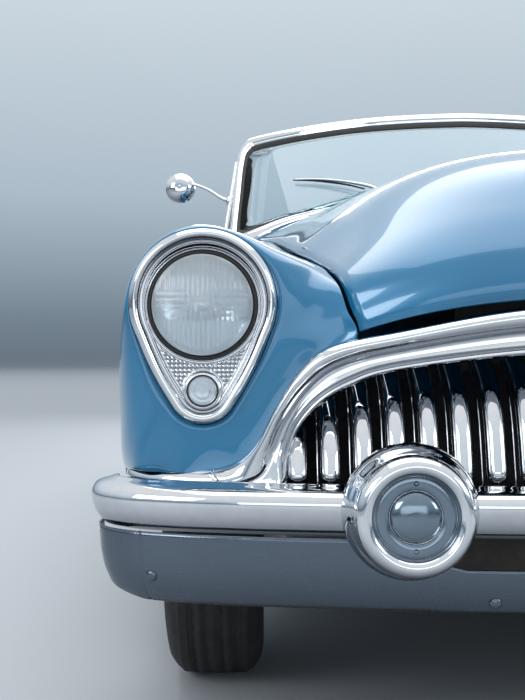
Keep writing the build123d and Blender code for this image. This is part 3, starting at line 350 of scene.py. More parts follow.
def section(y, inner_keys, start_x, floor, count):
    """The body's section at y, through inner keys and then down its side, from start_x out to a floor."""
    side = through(side_rows[:, 0], side_rows[:, 1:], np.array([y]))[0].reshape(5, 2)
    keys = np.vstack([np.reshape(inner_keys, (-1, 2)), side])
    fine = through(np.arange(len(keys)), keys, np.linspace(0, len(keys) - 1, FINE))
    steps = np.arange(FINE)
    inward = int(FINE * len(inner_keys) / (len(keys) - 1))
    first = np.interp(start_x, fine[:inward, 0], steps[:inward])
    below = fine[inward:, 1][::-1]
    last = np.interp(max(floor, fine[-1, 1]), below, steps[inward:][::-1])
    at = np.linspace(first, last, count)
    return np.stack([np.interp(at, steps, fine[:, axis]) for axis in (0, 1)], axis=-1)


def arch_floor(y, axle_y, radius):
    """Height of a wheel arch's edge above y, a circle about the wheel's centre, and 0 outside it."""
    rise = radius**2 - (y - axle_y) ** 2
    return np.where(rise >= 0, AXLE_Z + np.sqrt(np.maximum(rise, 0)), 0)


def arch_stations(start, end, axle_y, radius):
    """Stations along the car, close together where the arch's edge is steep, and paired at its ends."""
    swing = axle_y - radius * np.cos(np.linspace(0, pi, 33))
    ends = [axle_y - radius - 0.0004, axle_y + radius + 0.0004]
    return np.r_[np.linspace(start, ends[0], 7), swing, np.linspace(ends[1], end, 13)]


def teardrop(inset=0.0, count=144):
    """The bezel's outline round the lamp: a big circle above, a small one below, and bowed lines between."""
    big, small, drop = 0.125 - inset, 0.06 - inset, 0.145
    lean = np.arcsin((0.125 - 0.06) / drop)
    upper = np.linspace(-lean, pi + lean, 60)
    lower = np.linspace(pi + lean, 2 * pi - lean, 30)
    top = np.stack([big * np.cos(upper), big * np.sin(upper)], axis=-1)
    foot = np.stack([small * np.cos(lower), small * np.sin(lower) - drop], axis=-1)

    def bowed(a, b):
        """Points between a and b, on a line bowed outwards by 4 mm in its middle."""
        t = np.linspace(0, 1, 22)[1:-1, None]
        line = a + (b - a) * t
        normal = np.array([(b - a)[1], -(b - a)[0]]) / np.linalg.norm(b - a)
        return line + 0.004 * np.sin(pi * t) * normal

    outline = np.vstack([top, bowed(top[-1], foot[0]), foot, bowed(foot[-1], top[0])])
    return paced(outline, count, closed=True)


# The nose of the wing: for shares of the way round the teardrop (from its outer upper shoulder over the
# top, inwards, down and round the foot), the x, y and z where the rounded nose ends.
ring = teardrop(-0.002)
fraction = np.arange(144) / 144
nose_keys = np.array([
    (0.000, 0.913, -2.2, 0.7), (0.064, 0.899, -2.2, 0.805), (0.12, 0.872, -2.2, 0.868),
    (0.174, 0.84, -2.2, 0.908),
    (0.23, 0.8, -2.2, 0.934), (0.282, 0.757, -2.2, 0.943), (0.335, 0.69, -2.2, 0.93),
    (0.39, 0.612, -2.2, 0.899),
    (0.43, 0.542, -2.2, 0.873), (0.465, 0.53, -2.28, 0.856), (0.5, 0.518, -2.362, 0.83),
    (0.54, 0.506, -2.39, 0.788),
    (0.58, 0.492, -2.402, 0.744), (0.62, 0.54, -2.402, 0.7), (0.66, 0.595, -2.402, 0.645),
    (0.7, 0.64, -2.402, 0.575),
    (0.74, 0.68, -2.402, 0.527), (0.783, 0.751, -2.404, 0.514), (0.83, 0.82, -2.388, 0.512),
    (0.87, 0.872, -2.35, 0.512),
    (0.91, 0.908, -2.2, 0.512), (0.95, 0.912, -2.2, 0.6), (1.000, 0.913, -2.2, 0.7),
])
nose_end = through(nose_keys[:, 0], nose_keys[:, 1:], fraction)
t = np.linspace(0, 1, 15)[:, None]
out, back = np.sin(pi / 2 * t), 1 - np.cos(pi / 2 * t)
valley = 0.01 * np.sin(pi * t) ** 2 * np.clip(np.sin(pi * (fraction - 0.38) / 0.36), 0, 1)
nose = (
    LAMP_X + ring[:, 0] + (nose_end[:, 0] - LAMP_X - ring[:, 0]) * out,
    -2.399 + (nose_end[:, 1] + 2.399) * back + valley,
    LAMP_Z + ring[:, 1] + (nose_end[:, 2] - LAMP_Z - ring[:, 1]) * out,
)
stations = arch_stations(NOSE_JOIN_Y, WING_REAR_Y, AXLE_Y, ARCH_RADIUS)
seams = through(seam_line[:, 0], seam_line[:, 1:], stations)
rise = np.interp(stations, (-2.2, -1.75, -0.87), (-0.006, 0.006, 0.01))
floors = arch_floor(stations, AXLE_Y, ARCH_RADIUS)
flank = []
for y, seam, lift, floor in zip(stations, seams, rise, floors):
    edge = seam + (0.004, 0)
    crown = through(side_rows[:, 0], side_rows[:, 1:3], np.array([y]))[0]
    middle = (edge + crown) / 2 + (0, lift)
    flank.append(section(y, [edge, middle], edge[0], floor, 44))
flank = np.array(flank)
behind_lamp = smooth(stations, -2.2, -1.95) * (1 - smooth(stations, -1.35, -1.05))
outboard = smooth(flank[..., 0] - seams[:, [0]], 0.05, 0.15) * smooth(flank[..., 1], 0.86, 0.95)
flank[..., 1] -= 0.012 * behind_lamp[:, None] * outboard
for side, sign in SIDES:
    nose_panel = surface(
        f"wing_nose_{side}", sign * nose[0], nose[1], nose[2], paint, "body", wrap_columns=True,
        facing=(sign, -1, 1),
    )
    flank_panel = surface(
        f"wing_flank_{side}", sign * flank[..., 0], stations[:, None], flank[..., 1], paint, "body",
        facing=(sign, 0, 1),
    )
    for panel in (nose_panel, flank_panel):
        walled(panel, 0.006)
        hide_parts(f"front_wing_{side}")

# ------------------------------------------------------------------ bonnet
# One deep pressing over the engine, hinged at its rear, with a rolled lip above the grille. Each row: the
# side's y, x, z, then the centre line's y and z.
bonnet_rows = np.array([
    (-2.404, 0.486, 0.751, -2.478, 0.806),
    (-2.402, 0.49, 0.768, -2.49, 0.822),
    (-2.39, 0.499, 0.79, -2.484, 0.862),
    (-2.362, 0.512, 0.83, -2.452, 0.915),
    (-2.25, 0.527, 0.864, -2.4, 0.976),
    (-2.03, 0.55, 0.899, -2.3, 1.052),
    (-1.85, 0.572, 0.93, -2.1, 1.116),
    (-1.65, 0.593, 0.958, -1.83, 1.144),
    (-1.405, 0.6217, 1.001, -1.5, 1.156),
    (-1.16, 0.651, 1.031, -1.19, 1.162),
    (-1.087, 0.66, 1.04, -1.087, 1.164),
])
along = through(np.arange(11), bonnet_rows, np.linspace(0, 10, 58))
u = np.linspace(-1, 1, 57)[None, :]
share = np.abs(u)
side_y, side_x, side_z, mid_y, mid_z = (along[:, [column]] for column in range(5))
bonnet_x = u * side_x
bonnet_y = mid_y + (side_y - mid_y) * share**2.2
bonnet_z = mid_z - (mid_z - side_z) * share**3
bonnet = surface("bonnet_skin", bonnet_x, bonnet_y, bonnet_z, paint, "bonnet", facing=(0, 0, 1))
walled(bonnet, 0.012)
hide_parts("bonnet")

# ------------------------------------------------------------------ cowl
# The fixed panel behind the bonnet that carries the windscreen; the firewall and the hinge posts hang
# under it.
cowl_rows = np.array([
    (-1.077, 0.66, 1.043, 1.1665), (-0.96, 0.675, 1.054, 1.162), (-0.875, 0.684, 1.064, 1.16),
])
along = through(cowl_rows[:, 0], cowl_rows, np.linspace(-1.077, -0.875, 9))
rear = through(
    (-0.873, -0.742), [(-0.873, 0.76, 1.03, 1.16), (-0.742, 0.76, 1.03, 1.152)],
    np.linspace(-0.867, -0.742, 7),
)
along = np.vstack([along, rear])
cowl_y, cowl_x, cowl_side_z, cowl_mid_z = (along[:, [column]] for column in range(4))
cowl_skin = surface(
    "cowl_skin", u * cowl_x, cowl_y + 0 * u, cowl_mid_z - (cowl_mid_z - cowl_side_z) * share**3, paint,
    "body", facing=(0, 0, 1),
)
walled(cowl_skin, 0.002)
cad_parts["cowl"].data.materials[0] = paint

# ------------------------------------------------------------------ grille surround
# A heavy chromed arch over the grille with a broad outer roll, a hollowed middle and a thin inner lip. At
# each side it runs out into a half-round bar below the lamp, butted to it at a joint.


def chromed(name, colour=(0.8, 0.82, 0.85), rough=(0.03, 0.1), grain=(1.0, 1.0, 1.0), pits=0.25, film=0.75):
    """Plated metal: a mirror with cloudy wear, tiny pits through the plate, and on what faces down painted
    shade with road film, its strength set by film.
    """
    material, tree, node = shader(name, Metallic=1.0)
    place = object_place(tree)
    place = linked(tree, "ShaderNodeMapping", {"Vector": place, "Scale": grain}).outputs["Vector"]
    cloud = noise(tree, place, 34.0, 6.0, 0.65)
    pitted = linked(tree, "ShaderNodeTexVoronoi", {"Vector": place, "Scale": 310.0})
    speck = ramp(tree, pitted.outputs["Distance"], (0.05, pits), (0.16, 0.0))
    tint = ramp(tree, cloud, (0.35, tuple(0.93 * c for c in colour)), (0.65, colour))
    worn = two_tones(tree, speck, tint, (0.22, 0.21, 0.2, 1))
    # Painted shade with road film: what faces down is mixed towards a dark blue grey, standing in for the
    # dark ground it would mirror.
    facing = linked(
        tree, "ShaderNodeSeparateXYZ", {"Vector": linked(tree, "ShaderNodeNewGeometry").outputs["Normal"]},
    ).outputs["Z"]
    drop = linked(
        tree, "ShaderNodeMapRange",
        {"Value": facing, "From Min": -0.75, "From Max": 0.1, "To Min": film, "To Max": 0.0},
    )
    shade_and_film = two_tones(tree, drop.outputs["Result"], worn, (0.1, 0.12, 0.15, 1))
    tree.links.new(shade_and_film, node.inputs["Base Color"])
    tree.links.new(ramp(tree, cloud, (0.4, rough[0]), (0.72, rough[1])), node.inputs["Roughness"])
    ripple = noise(tree, place, 11.0, 1.0)
    bumped(tree, node, ripple, 0.12, 0.002)
    return material


def plan_line(points, at):
    """Places along a smooth line in plan, and the outward directions there, square to the line."""
    points, at = np.asarray(points, float), np.asarray(at, float)
    steps = np.r_[0, np.cumsum(np.linalg.norm(np.diff(points, axis=0), axis=1))]
    place = through(steps, points, at)
    course = through(steps, points, at + 1e-4) - through(steps, points, at - 1e-4)
    outward = np.stack([course[..., 1], -course[..., 0]], axis=-1)
    return place, unit(outward)


chrome = chromed("bright_chrome")
surround_plan = [
    (0, -2.5), (0.3, -2.487), (0.664, -2.44), (0.78, -2.408), (0.85, -2.37), (0.885, -2.32), (0.898, -2.255),
]
# Distance along the plan line and height of the outer edge, then of the inner edge.
surround_edges = np.array([
    (0.0, 0.8, 0.0, 0.715), (0.228, 0.788, 0.218, 0.7095), (0.43, 0.751, 0.4238, 0.685),
    (0.548, 0.725, 0.5, 0.662),
    (0.6, 0.681, 0.555, 0.631), (0.638, 0.621, 0.593, 0.588), (0.668, 0.566, 0.609, 0.542),
    (0.705, 0.532, 0.622, 0.484),
    (0.755, 0.52, 0.73, 0.476), (0.85, 0.52, 0.84, 0.476), (0.93, 0.52, 0.93, 0.476),
    (0.985, 0.516, 0.985, 0.48),
])
arch_profile = np.array([
    (0.0, -0.03), (0.03, -0.014), (0.1, -0.004), (0.22, 0.0), (0.36, -0.005), (0.46, -0.014), (0.5, -0.02),
    (0.62, -0.023), (0.74, -0.021), (0.82, -0.016), (0.87, -0.009), (0.92, -0.008), (0.97, -0.016),
    (1.0, -0.04),
])


def surround_part(start, end, count):
    """The surround between two keys: its profile from the outer edge to the inner, closed behind."""
    edges = through(np.arange(12), surround_edges, np.linspace(start, end, count))
    w = np.linspace(0, 1, 30)
    arch = through(arch_profile[:, 0], arch_profile[:, 1], w)
    roll = -0.03 + 0.03 * np.sqrt(np.clip(1 - (2 * w - 1) ** 2, 0, 1))
    rolled = smooth(edges[:, [0]], 0.655, 0.735)
    front = arch * (1 - rolled) + roll * rolled
    w = np.r_[w, 1.0, 0.0]
    outward = np.hstack([front, np.full((count, 2), -0.055)])
    distance = edges[:, [0]] * (1 - w) + edges[:, [2]] * w
    z = edges[:, [1]] * (1 - w) + edges[:, [3]] * w
    place, direction = plan_line(surround_plan, distance)
    x, y = np.moveaxis(place + outward[..., None] * direction, -1, 0)
    return x, y, z


def mirrored(x, y, z):
    """A half that starts on the car's middle line, joined to its mirror image, from right to left."""
    return np.concatenate([-x[:0:-1], x]), np.concatenate([y[:0:-1], y]), np.concatenate([z[:0:-1], z])


surround = solid("grille_surround_arch", mirrored(*surround_part(0, 7.84, 130)), chrome, "body")
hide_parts("grille_surround")
x, y, z = surround_part(7.87, 11, 40)
for side, sign in SIDES:
    wing_bar = solid(f"wing_bar_{side}", (sign * x, y, z), chrome, "body")
    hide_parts("grille_surround")

# ------------------------------------------------------------------ grille bars
# Twenty-three stamped and chromed bars, convex in front and leaning back, each with a foot cap and a thin
# fin at its side, in front of a black sheet that is painted shade for the dark inside the grille.
BAR_PITCH, BAR_WIDTH, BAR_FOOT_Z = 0.0538, 0.033, 0.4853
bar_x = BAR_PITCH * np.arange(-11, 12)
line_place, _ = plan_line(surround_plan, surround_edges[:8, 2])
bar_top = np.interp(np.abs(bar_x), line_place[:, 0], surround_edges[:8, 3]) + 0.012
bar_top = np.where(np.abs(bar_x) > 0.55, 0.62, bar_top)


def bar_grids(width, depth, shift_x, shift_y, foot, top, bulge, rows=21, sides=18):
    """Upright rolls, one grid a bar: a section carried up a line that leans back, rounded off at its foot."""
    t = np.linspace(0, 1, rows)[:, None]
    angle = once_round(sides)[None, :]
    z = foot + (top - foot)[:, None, None] * t
    end = np.sqrt(np.clip(1 - np.clip(1 - (z - foot) / 0.013, 0, 1) ** 2, 0.02, 1))
    back = -2.48 + 0.045 * (bar_x[:, None, None] / 0.7) ** 2 + 0.055 * t + 0.095 * t**4 + shift_y
    section_x = np.cos(angle) * np.abs(np.cos(angle)) ** -0.25
    x = bar_x[:, None, None] + shift_x + width / 2 * section_x * end
    y = back + np.where(np.sin(angle) > 0, -depth * bulge, 0.006) * np.abs(np.sin(angle)) ** 0.9 * end
    return x, y, z + 0 * x


teeth = solid(
    "grille_teeth", bar_grids(BAR_WIDTH, 0.02, 0, 0, BAR_FOOT_Z + 0.017, bar_top, 1.0), chrome, "body",
)
caps = solid(
    "grille_feet",
    bar_grids(BAR_WIDTH + 0.002, 0.022, 0, -0.001, BAR_FOOT_Z, 0 * bar_top + BAR_FOOT_Z + 0.0165, 1.0, 9),
    chrome, "body",
)
fins = solid(
    "grille_fins", bar_grids(0.004, 0.008, -0.0205, 0.016, BAR_FOOT_Z + 0.004, bar_top, 1.0, 14, 8), chrome,
    "body",
)
for made in (teeth, caps, fins):
    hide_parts("grille_bars")


def plastic(name, colour, roughness=0.5, scale=300.0, strength=0.2):
    """Black rubber or moulded plastic: a fine grain, with a trace of grey dust in it."""
    material, tree, node = shader(name, Roughness=roughness)
    place = object_place(tree)
    grain = noise(tree, place, scale, 4.0)
    dusty = tuple(min(1.0, 1.7 * c + 0.008) for c in colour)
    tree.links.new(ramp(tree, grain, (0.4, colour), (0.75, dusty)), node.inputs["Base Color"])
    bumped(tree, node, grain, strength, 0.001)
    return material


# Painted shade: a near-black sheet behind the bars, so the gaps between them read as the shade inside the
# grille.
shade_black = plastic("painted_shade_black", (0.006, 0.006, 0.007), 0.75, 60.0)
across = np.linspace(-0.63, 0.63, 43)[None, :]
up = np.linspace(0, 1, 12)[:, None]
shade_sheet_top = np.interp(np.abs(across), line_place[:, 0], surround_edges[:8, 3]) + 0.03
shade_sheet = surface(
    "grille_painted_shade_sheet", across + 0 * up, -2.385 + 0.05 * (across / 0.6) ** 2 + 0.14 * up,
    0.47 + (np.maximum(shade_sheet_top, 0.52) - 0.47) * up, shade_black, "body", facing=(0, -1, 0),
)
walled(shade_sheet, 0.003)

# ------------------------------------------------------------------ headlamp bezels
# Chromed die castings round the lamp and the parking lamp: a broad polished rim, a groove, a stepped
# ring, and below the lamp a waffled panel inside a thin raised border.
BEZEL_Y = -2.4


def rim_surface(profile, count=144):
    """A closed profile of (inset from the outline, height forward) pairs carried round the teardrop."""
    profile = np.asarray(profile, float)
    fine = through(np.arange(len(profile)), profile, np.linspace(0, len(profile) - 1, 2 * len(profile) + 4))
    rims = [teardrop(inset, count) for inset in fine[:, 0]]
    x, z = np.moveaxis(np.array(rims), -1, 0)
    top = 1 + 0.35 * np.clip(z / 0.125, 0, 1)
    return LAMP_X + x, BEZEL_Y - fine[:, [1]] * top, LAMP_Z + z


def turned(profile, centre, sides=80, direction=(0, -1, 0)):
    """A profile of (radius, height) pairs turned round an axis that points along a direction."""
    profile = np.asarray(profile, float)
    axis = np.asarray(direction, float) / np.linalg.norm(direction)
    first = np.cross(axis, (0, 0, 1.0) if abs(axis[2]) < 0.9 else (1.0, 0, 0))
    first /= np.linalg.norm(first)
    second = np.cross(axis, first)
    angle = once_round(sides)
    round_it = np.cos(angle)[:, None] * first + np.sin(angle)[:, None] * second
    points = np.asarray(centre) + profile[:, 0, None, None] * round_it + profile[:, 1, None, None] * axis
    return np.moveaxis(points, -1, 0)


def rounded(profile, times=3):
    """More points on a profile, on a smooth curve through those given."""
    profile = np.asarray(profile, float)
    return through(np.arange(len(profile)), profile, np.linspace(0, len(profile) - 1, times * len(profile)))


rim_profile = [
    (-0.001, -0.02), (-0.001, -0.002), (0.0, 0.006), (0.003, 0.0115), (0.008, 0.0145), (0.013, 0.0135),
    (0.017, 0.009), (0.0185, 0.004), (0.0195, -0.001), (0.021, -0.002), (0.0225, 0.001), (0.024, 0.002),
    (0.0255, 0.0),
    (0.026, -0.006), (0.026, -0.016),
]
x, y, z = rim_surface(rim_profile)
waffle_u = np.linspace(-1, 1, 100)[None, :]
waffle_z = np.linspace(-0.1815, -0.03, 80)[:, None]
inner_line = teardrop(0.0255, 2000)
right_half = inner_line[inner_line[:, 0] > 0]
right_half = right_half[np.argsort(right_half[:, 1])]
waffle_half = np.interp(waffle_z, right_half[:, 1], right_half[:, 0])
waffle_x = waffle_u * waffle_half
cell = 0.0072
dots = np.clip(2.6 * np.cos(pi * waffle_x / cell) ** 2 * np.cos(pi * waffle_z / cell) ** 2 - 0.15, 0, 1)
LAMP_DROP = 0.004
from_lamp = np.hypot(waffle_x, waffle_z + LAMP_DROP)
from_park = np.hypot(waffle_x, waffle_z + LAMP_Z - PARK_Z)
from_edge = (1 - np.abs(waffle_u)) * waffle_half
inside = smooth(from_edge, 0.0035, 0.0055) * smooth(from_lamp, 0.1, 0.102)
inside = inside * smooth(from_park, 0.036, 0.038) * smooth(waffle_z, -0.16, -0.156)
border = np.exp(-((from_edge - 0.0025) / 0.0011) ** 2) + np.exp(-((from_park - 0.0345) / 0.0013) ** 2)
swell = 0.004 * np.exp(-(np.clip(from_park - 0.026, 0, 1) / 0.007) ** 2)
raised = 0.0013 * np.clip(border, 0, 1) * smooth(from_lamp, 0.1, 0.103)
waffle_y = BEZEL_Y - 0.0002 - 0.0024 * dots * inside - raised - swell
silver = chromed("brushed_silver", (0.7, 0.74, 0.78), (0.16, 0.3))
tree, node = silver.node_tree, silver.node_tree.nodes["Principled BSDF"]
# The waffle's grooves are given a darker colour, by the groove attribute.
low_spot = linked(tree, "ShaderNodeAttribute", attribute_name="groove").outputs["Fac"]
plated = node.inputs["Base Color"].links[0].from_socket
groove_darkened = two_tones(tree, low_spot, plated, (0.075, 0.09, 0.11, 1))
tree.links.new(groove_darkened, node.inputs["Base Color"])
ring_profile = rounded([
    (0.1015, -0.016), (0.1015, -0.003), (0.1008, 0.000), (0.0995, 0.0015), (0.098, 0.000), (0.0972, -0.003),
    (0.0966, -0.003),
    (0.096, 0.002), (0.0948, 0.004), (0.0933, 0.003), (0.0925, -0.002), (0.0925, -0.016),
])
for side, sign in SIDES:
    lamp = (sign * LAMP_X, BEZEL_Y, LAMP_Z - LAMP_DROP)
    rim = hoop(f"bezel_rim_{side}", (sign * x, y, z), chrome, "body")
    panel = surface(
        f"bezel_waffle_{side}", sign * (LAMP_X + waffle_x), waffle_y, LAMP_Z + waffle_z + 0 * waffle_x,
        silver, "body", facing=(0, -1, 0),
    )
    groove = panel.data.attributes.new("groove", "FLOAT", "POINT")
    groove.data.foreach_set("value", (0.7 * inside * (1 - dots)).ravel())
    walled(panel, 0.002)
    steps = hoop(f"bezel_steps_{side}", turned(ring_profile, lamp), chrome, "body")
    for made in (rim, panel, steps):
        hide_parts("headlamp_bezels")

# ------------------------------------------------------------------ front lamps
# Sealed beams: a silvered bowl with a shield over the filament, behind a domed lens moulded with upright
# flutes. The parking lamp below is a small domed lens in a chromed collar.


def clear_glass(name, colour=(0.97, 0.99, 1.0), roughness=0.0, sheen_of_dirt=0.03):
    """Glass: clear, with a film of dust that takes the edge off the gloss in patches."""
    material, tree, node = shader(name, IOR=1.46)
    node.inputs["Transmission Weight"].default_value = 1.0
    node.inputs["Base Color"].default_value = (*colour, 1)
    place = object_place(tree)
    film = noise(tree, place, 9.0, 5.0)
    dirt = ramp(tree, film, (0.45, roughness), (0.75, roughness + sheen_of_dirt))
    tree.links.new(dirt, node.inputs["Roughness"])
    return material


lamp_glass = clear_glass("moulded_lamp_glass", (0.8, 0.88, 0.93), 0.02)
lamp_glass.node_tree.nodes["Principled BSDF"].inputs["Transmission Weight"].default_value = 0.72
bowl_silver = chromed("silvered_bowl", (0.86, 0.88, 0.9), (0.06, 0.16), pits=0.05)
gasket_rubber = plastic("lamp_gasket_rubber", (0.01, 0.01, 0.011), 0.6)
radius = np.r_[0.0015, np.linspace(0.004, 0.0797, 40), 0.0807, 0.0848, 0.0855, 0.0855][:, None]
around = once_round(256)[None, :]
lens_x, lens_z = radius * np.cos(around), radius * np.sin(around)
dome = 0.02 + 0.0215 * (1 - (radius / 0.0812) ** 2)
fluted = smooth(radius, 0.012, 0.02) * smooth(0.0797 - radius, 0, 0.004)
middle_band = smooth(0.026 - np.abs(lens_z), 0, 0.006) * smooth(np.abs(lens_x), 0.018, 0.026)
upright = np.abs(np.sin(pi * lens_x / 0.0082)) * (1 - 0.7 * middle_band)
flutes = upright + 0.6 * np.abs(np.sin(pi * lens_z / 0.0105)) * middle_band
ribs = fluted * (1 - flutes)
lens_front = np.where(radius > 0.08, 0.02, dome) - np.where(radius > 0.0852, 0.008, 0) - 0.0016 * ribs
lens_back = (lens_front + 0.0024 * ribs)[::-2] - 0.0046
lens_depth = np.concatenate([lens_front, lens_back])
lens_x, lens_z = (np.concatenate([part, part[::-2]]) for part in (lens_x, lens_z))
bowl = rounded([
    (0.08, 0.015), (0.076, 0.004), (0.066, -0.008), (0.048, -0.02), (0.028, -0.028), (0.012, -0.031),
    (0.0015, -0.0315),
])
shield = rounded([
    (0.0012, 0.006), (0.004, 0.0055), (0.0065, 0.003), (0.007, -0.003), (0.0055, -0.006), (0.005, -0.024),
])
ear = [(0.0012, 0.0), (0.004, -0.001), (0.0055, -0.004), (0.0055, -0.022)]
halo = rounded([(0.0165, -0.02), (0.0165, -0.004), (0.018, -0.001), (0.0195, -0.003), (0.0195, -0.02)])
seal = rounded([
    (0.0925, -0.012), (0.0925, 0.005), (0.0912, 0.011), (0.0888, 0.0135), (0.0866, 0.0125), (0.0855, 0.006),
    (0.0855, -0.012),
])
park_lens = rounded([
    (0.0012, 0.019), (0.006, 0.0188), (0.0115, 0.0172), (0.0135, 0.015), (0.015, 0.0152), (0.019, 0.014),
    (0.0235, 0.0095), (0.0245, 0.0),
])
park_ring = rounded([(0.0245, -0.006), (0.0245, 0.006), (0.0257, 0.0072), (0.027, 0.006), (0.027, -0.006)])
park_collar = rounded([
    (0.027, -0.008), (0.027, 0.0062), (0.0282, 0.0075), (0.03, 0.0072), (0.0325, 0.005), (0.0345, 0.001),
    (0.0345, -0.008),
])
park_bowl = rounded([(0.0235, 0.001), (0.02, -0.008), (0.012, -0.013), (0.0012, -0.014)])
for side, sign in SIDES:
    lamp = (sign * LAMP_X, BEZEL_Y, LAMP_Z - LAMP_DROP)
    park = (sign * LAMP_X, BEZEL_Y, PARK_Z)
    lens_piece = solid(
        f"lamp_lens_{side}", (lamp[0] + lens_x, lamp[1] - lens_depth, lamp[2] + lens_z), lamp_glass, "body",
    )
    made = [
        lens_piece,
        surface(
            f"lamp_bowl_{side}", *turned(bowl, lamp), bowl_silver, "body", wrap_columns=True,
            facing=(0, -1, 0),
        ),
        solid(f"lamp_shield_{side}", turned(shield, lamp, 32), chrome, "body"),
        solid(
            f"lamp_lower_filament_{side}",
            turned(ear, (lamp[0] + 0.011 * sign, lamp[1], lamp[2] - 0.047), 24), chrome, "body",
        ),
        hoop(f"lamp_halo_{side}", turned(halo, lamp, 48), bowl_silver, "body"),
        hoop(f"lamp_seal_{side}", turned(seal, lamp), gasket_rubber, "body"),
        solid(f"park_lens_{side}", turned(park_lens, park, 64), lamp_glass, "body"),
        surface(
            f"park_bowl_{side}", *turned(park_bowl, park, 64), bowl_silver, "body", wrap_columns=True,
            facing=(0, -1, 0),
        ),
        hoop(f"park_ring_{side}", turned(park_ring, park, 64), gasket_rubber, "body"),
        hoop(f"park_collar_{side}", turned(park_collar, park, 64), chrome, "body"),
    ]
    for part in made:
        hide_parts("front_lamps")

# ------------------------------------------------------------------ front bumper bar
# A heavy chromed roll right across the car, bent back at both
# ends, with a turned-up rear edge.
bow_plan = [
    (0, -2.56), (0.175, -2.5563), (0.35, -2.545), (0.525, -2.5263), (0.7, -2.5), (0.805, -2.4735),
    (0.89, -2.435),
    (0.938, -2.382), (0.95, -2.33), (0.95, -2.285),
]
bar_section = rounded([
    (-0.048, 0.49), (-0.049, 0.5015), (-0.044, 0.503), (-0.033, 0.4995), (-0.018, 0.4955), (-0.006, 0.4875),
    (0.0, 0.4745),
    (-0.002, 0.459), (-0.008, 0.443), (-0.018, 0.429), (-0.029, 0.4215), (-0.034, 0.4215), (-0.036, 0.427),
    (-0.036, 0.44),
])


END_ROUND = 0.045


def bumper_roll(plan, section_points, centre, count, way):
    """Half a bumper: a section carried along a line in plan and drawn in to a centre at its end."""
    length = float(np.sum(np.linalg.norm(np.diff(plan, axis=0), axis=1))) - END_ROUND
    at = np.r_[np.linspace(0, length, count), length + END_ROUND * (1 - np.cos(np.linspace(0.1, pi / 2, 12)))]
    scale = np.sqrt(np.clip(1 - np.clip((at - length) / (END_ROUND + 0.0002), 0, 1) ** 2, 0.01, 1))[:, None]
    place, direction = plan_line(plan, at)
    outward = way * (centre[0] + (section_points[None, :, 0] - centre[0]) * scale)
    z = centre[1] + (section_points[None, :, 1] - centre[1]) * scale
    return place[:, [0]] + outward * direction[:, [0]], place[:, [1]] + outward * direction[:, [1]], z


bumper_bar = solid(
    "front_bumper_roll", mirrored(*bumper_roll(bow_plan, bar_section, (-0.03, 0.466), 60, 1)), chrome, "body",
)
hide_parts("front_bumper_bar")

# ------------------------------------------------------------------ front bumper apron
# The plated pan under the bar, dark from wear and from painted shade, drawn under at its lower edge, in three
# lengths held by domed bolts.
# Its plate colour is kept dark for wear and as painted shade, for the shade it sits in under the bar.
worn_and_shaded = chromed("worn_and_shaded_chrome", (0.13, 0.16, 0.2), (0.14, 0.38), (1.0, 1.0, 3.5), pits=0.5)
distances = np.r_[
    0, np.linspace(0.02, 0.36, 12), np.linspace(0.37, 0.43, 9), np.linspace(0.45, 0.86, 17),
    np.linspace(0.865, 0.885, 9), np.linspace(0.9, 1.065, 12),
]
APRON_TOP, APRON_FALL = 0.4197, 0.12
apron_top = APRON_TOP - 0.0477 * (1 - smooth(distances, 0.345, 0.405))[:, None]
apron_low = 0.3 + 0.03 * smooth(distances, 0.86, 1.06)[:, None]
down = np.linspace(0, 1, 18)[None, :]
apron_z = apron_top + (apron_low - apron_top) * down
fall = (APRON_TOP - apron_z) / APRON_FALL
crease = 0.0022 * np.exp(-(((distances[:, None] - 0.872 + 0.006 * fall) / 0.0022) ** 2))
apron_out = -0.014 - 0.004 * fall - 0.03 * fall**3 - crease
place, direction = plan_line(bow_plan, distances)
apron_x = place[:, [0]] + apron_out * direction[:, [0]]
apron_y = place[:, [1]] + apron_out * direction[:, [1]]
apron = surface("front_apron", *mirrored(apron_x, apron_y, apron_z), worn_and_shaded, "body", facing=(0, -1, 0))
walled(apron, 0.004)
bolt_head = rounded([(0.0012, 0.0052), (0.005, 0.0047), (0.009, 0.002), (0.0105, -0.002), (0.0105, -0.008)])
bolts = []
for distance, z in ((0.851, 0.346), (0.2834, 0.318)):
    (x, y), (out_x, out_y) = (part[0] for part in plan_line(bow_plan, [distance]))
    inset = -0.016 - 0.03 * ((APRON_TOP - z) / APRON_FALL) ** 3
    for _, sign in SIDES:
        bolts.append(
            turned(
                bolt_head, (sign * (x + inset * out_x), y + inset * out_y, z), 32,
                (sign * out_x, out_y, -0.25),
            )
        )
bolts = solid("apron_bolts", gathered(bolts), worn_and_shaded, "body")
for made in (apron, bolts):
    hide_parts("front_bumper_apron")

# ------------------------------------------------------------------ bumper guards
# Two round chromed guards on the bar: a thick polished ring on a flared base, a recessed dished ring with
# two ball screws, and a domed middle.
guard_profile = rounded([
    (0.04, -0.06), (0.04, -0.02), (0.0405, -0.0185), (0.0425, -0.0165), (0.048, -0.015), (0.056, -0.015),
    (0.0605, -0.016),
    (0.0615, -0.0175), (0.0625, -0.016), (0.065, -0.0085), (0.069, -0.003), (0.075, -0.0003),
    (0.0815, -0.0012),
    (0.088, -0.006), (0.0925, -0.015), (0.094, -0.026), (0.093, -0.036), (0.0925, -0.04), (0.094, -0.043),
    (0.0975, -0.05), (0.103, -0.06), (0.1075, -0.072), (0.108, -0.082), (0.104, -0.09), (0.06, -0.09),
])
dome_profile = rounded([
    (0.0012, -0.002), (0.015, -0.003), (0.03, -0.007), (0.0375, -0.012), (0.0395, -0.015), (0.0388, -0.0185),
    (0.0385, -0.045),
])
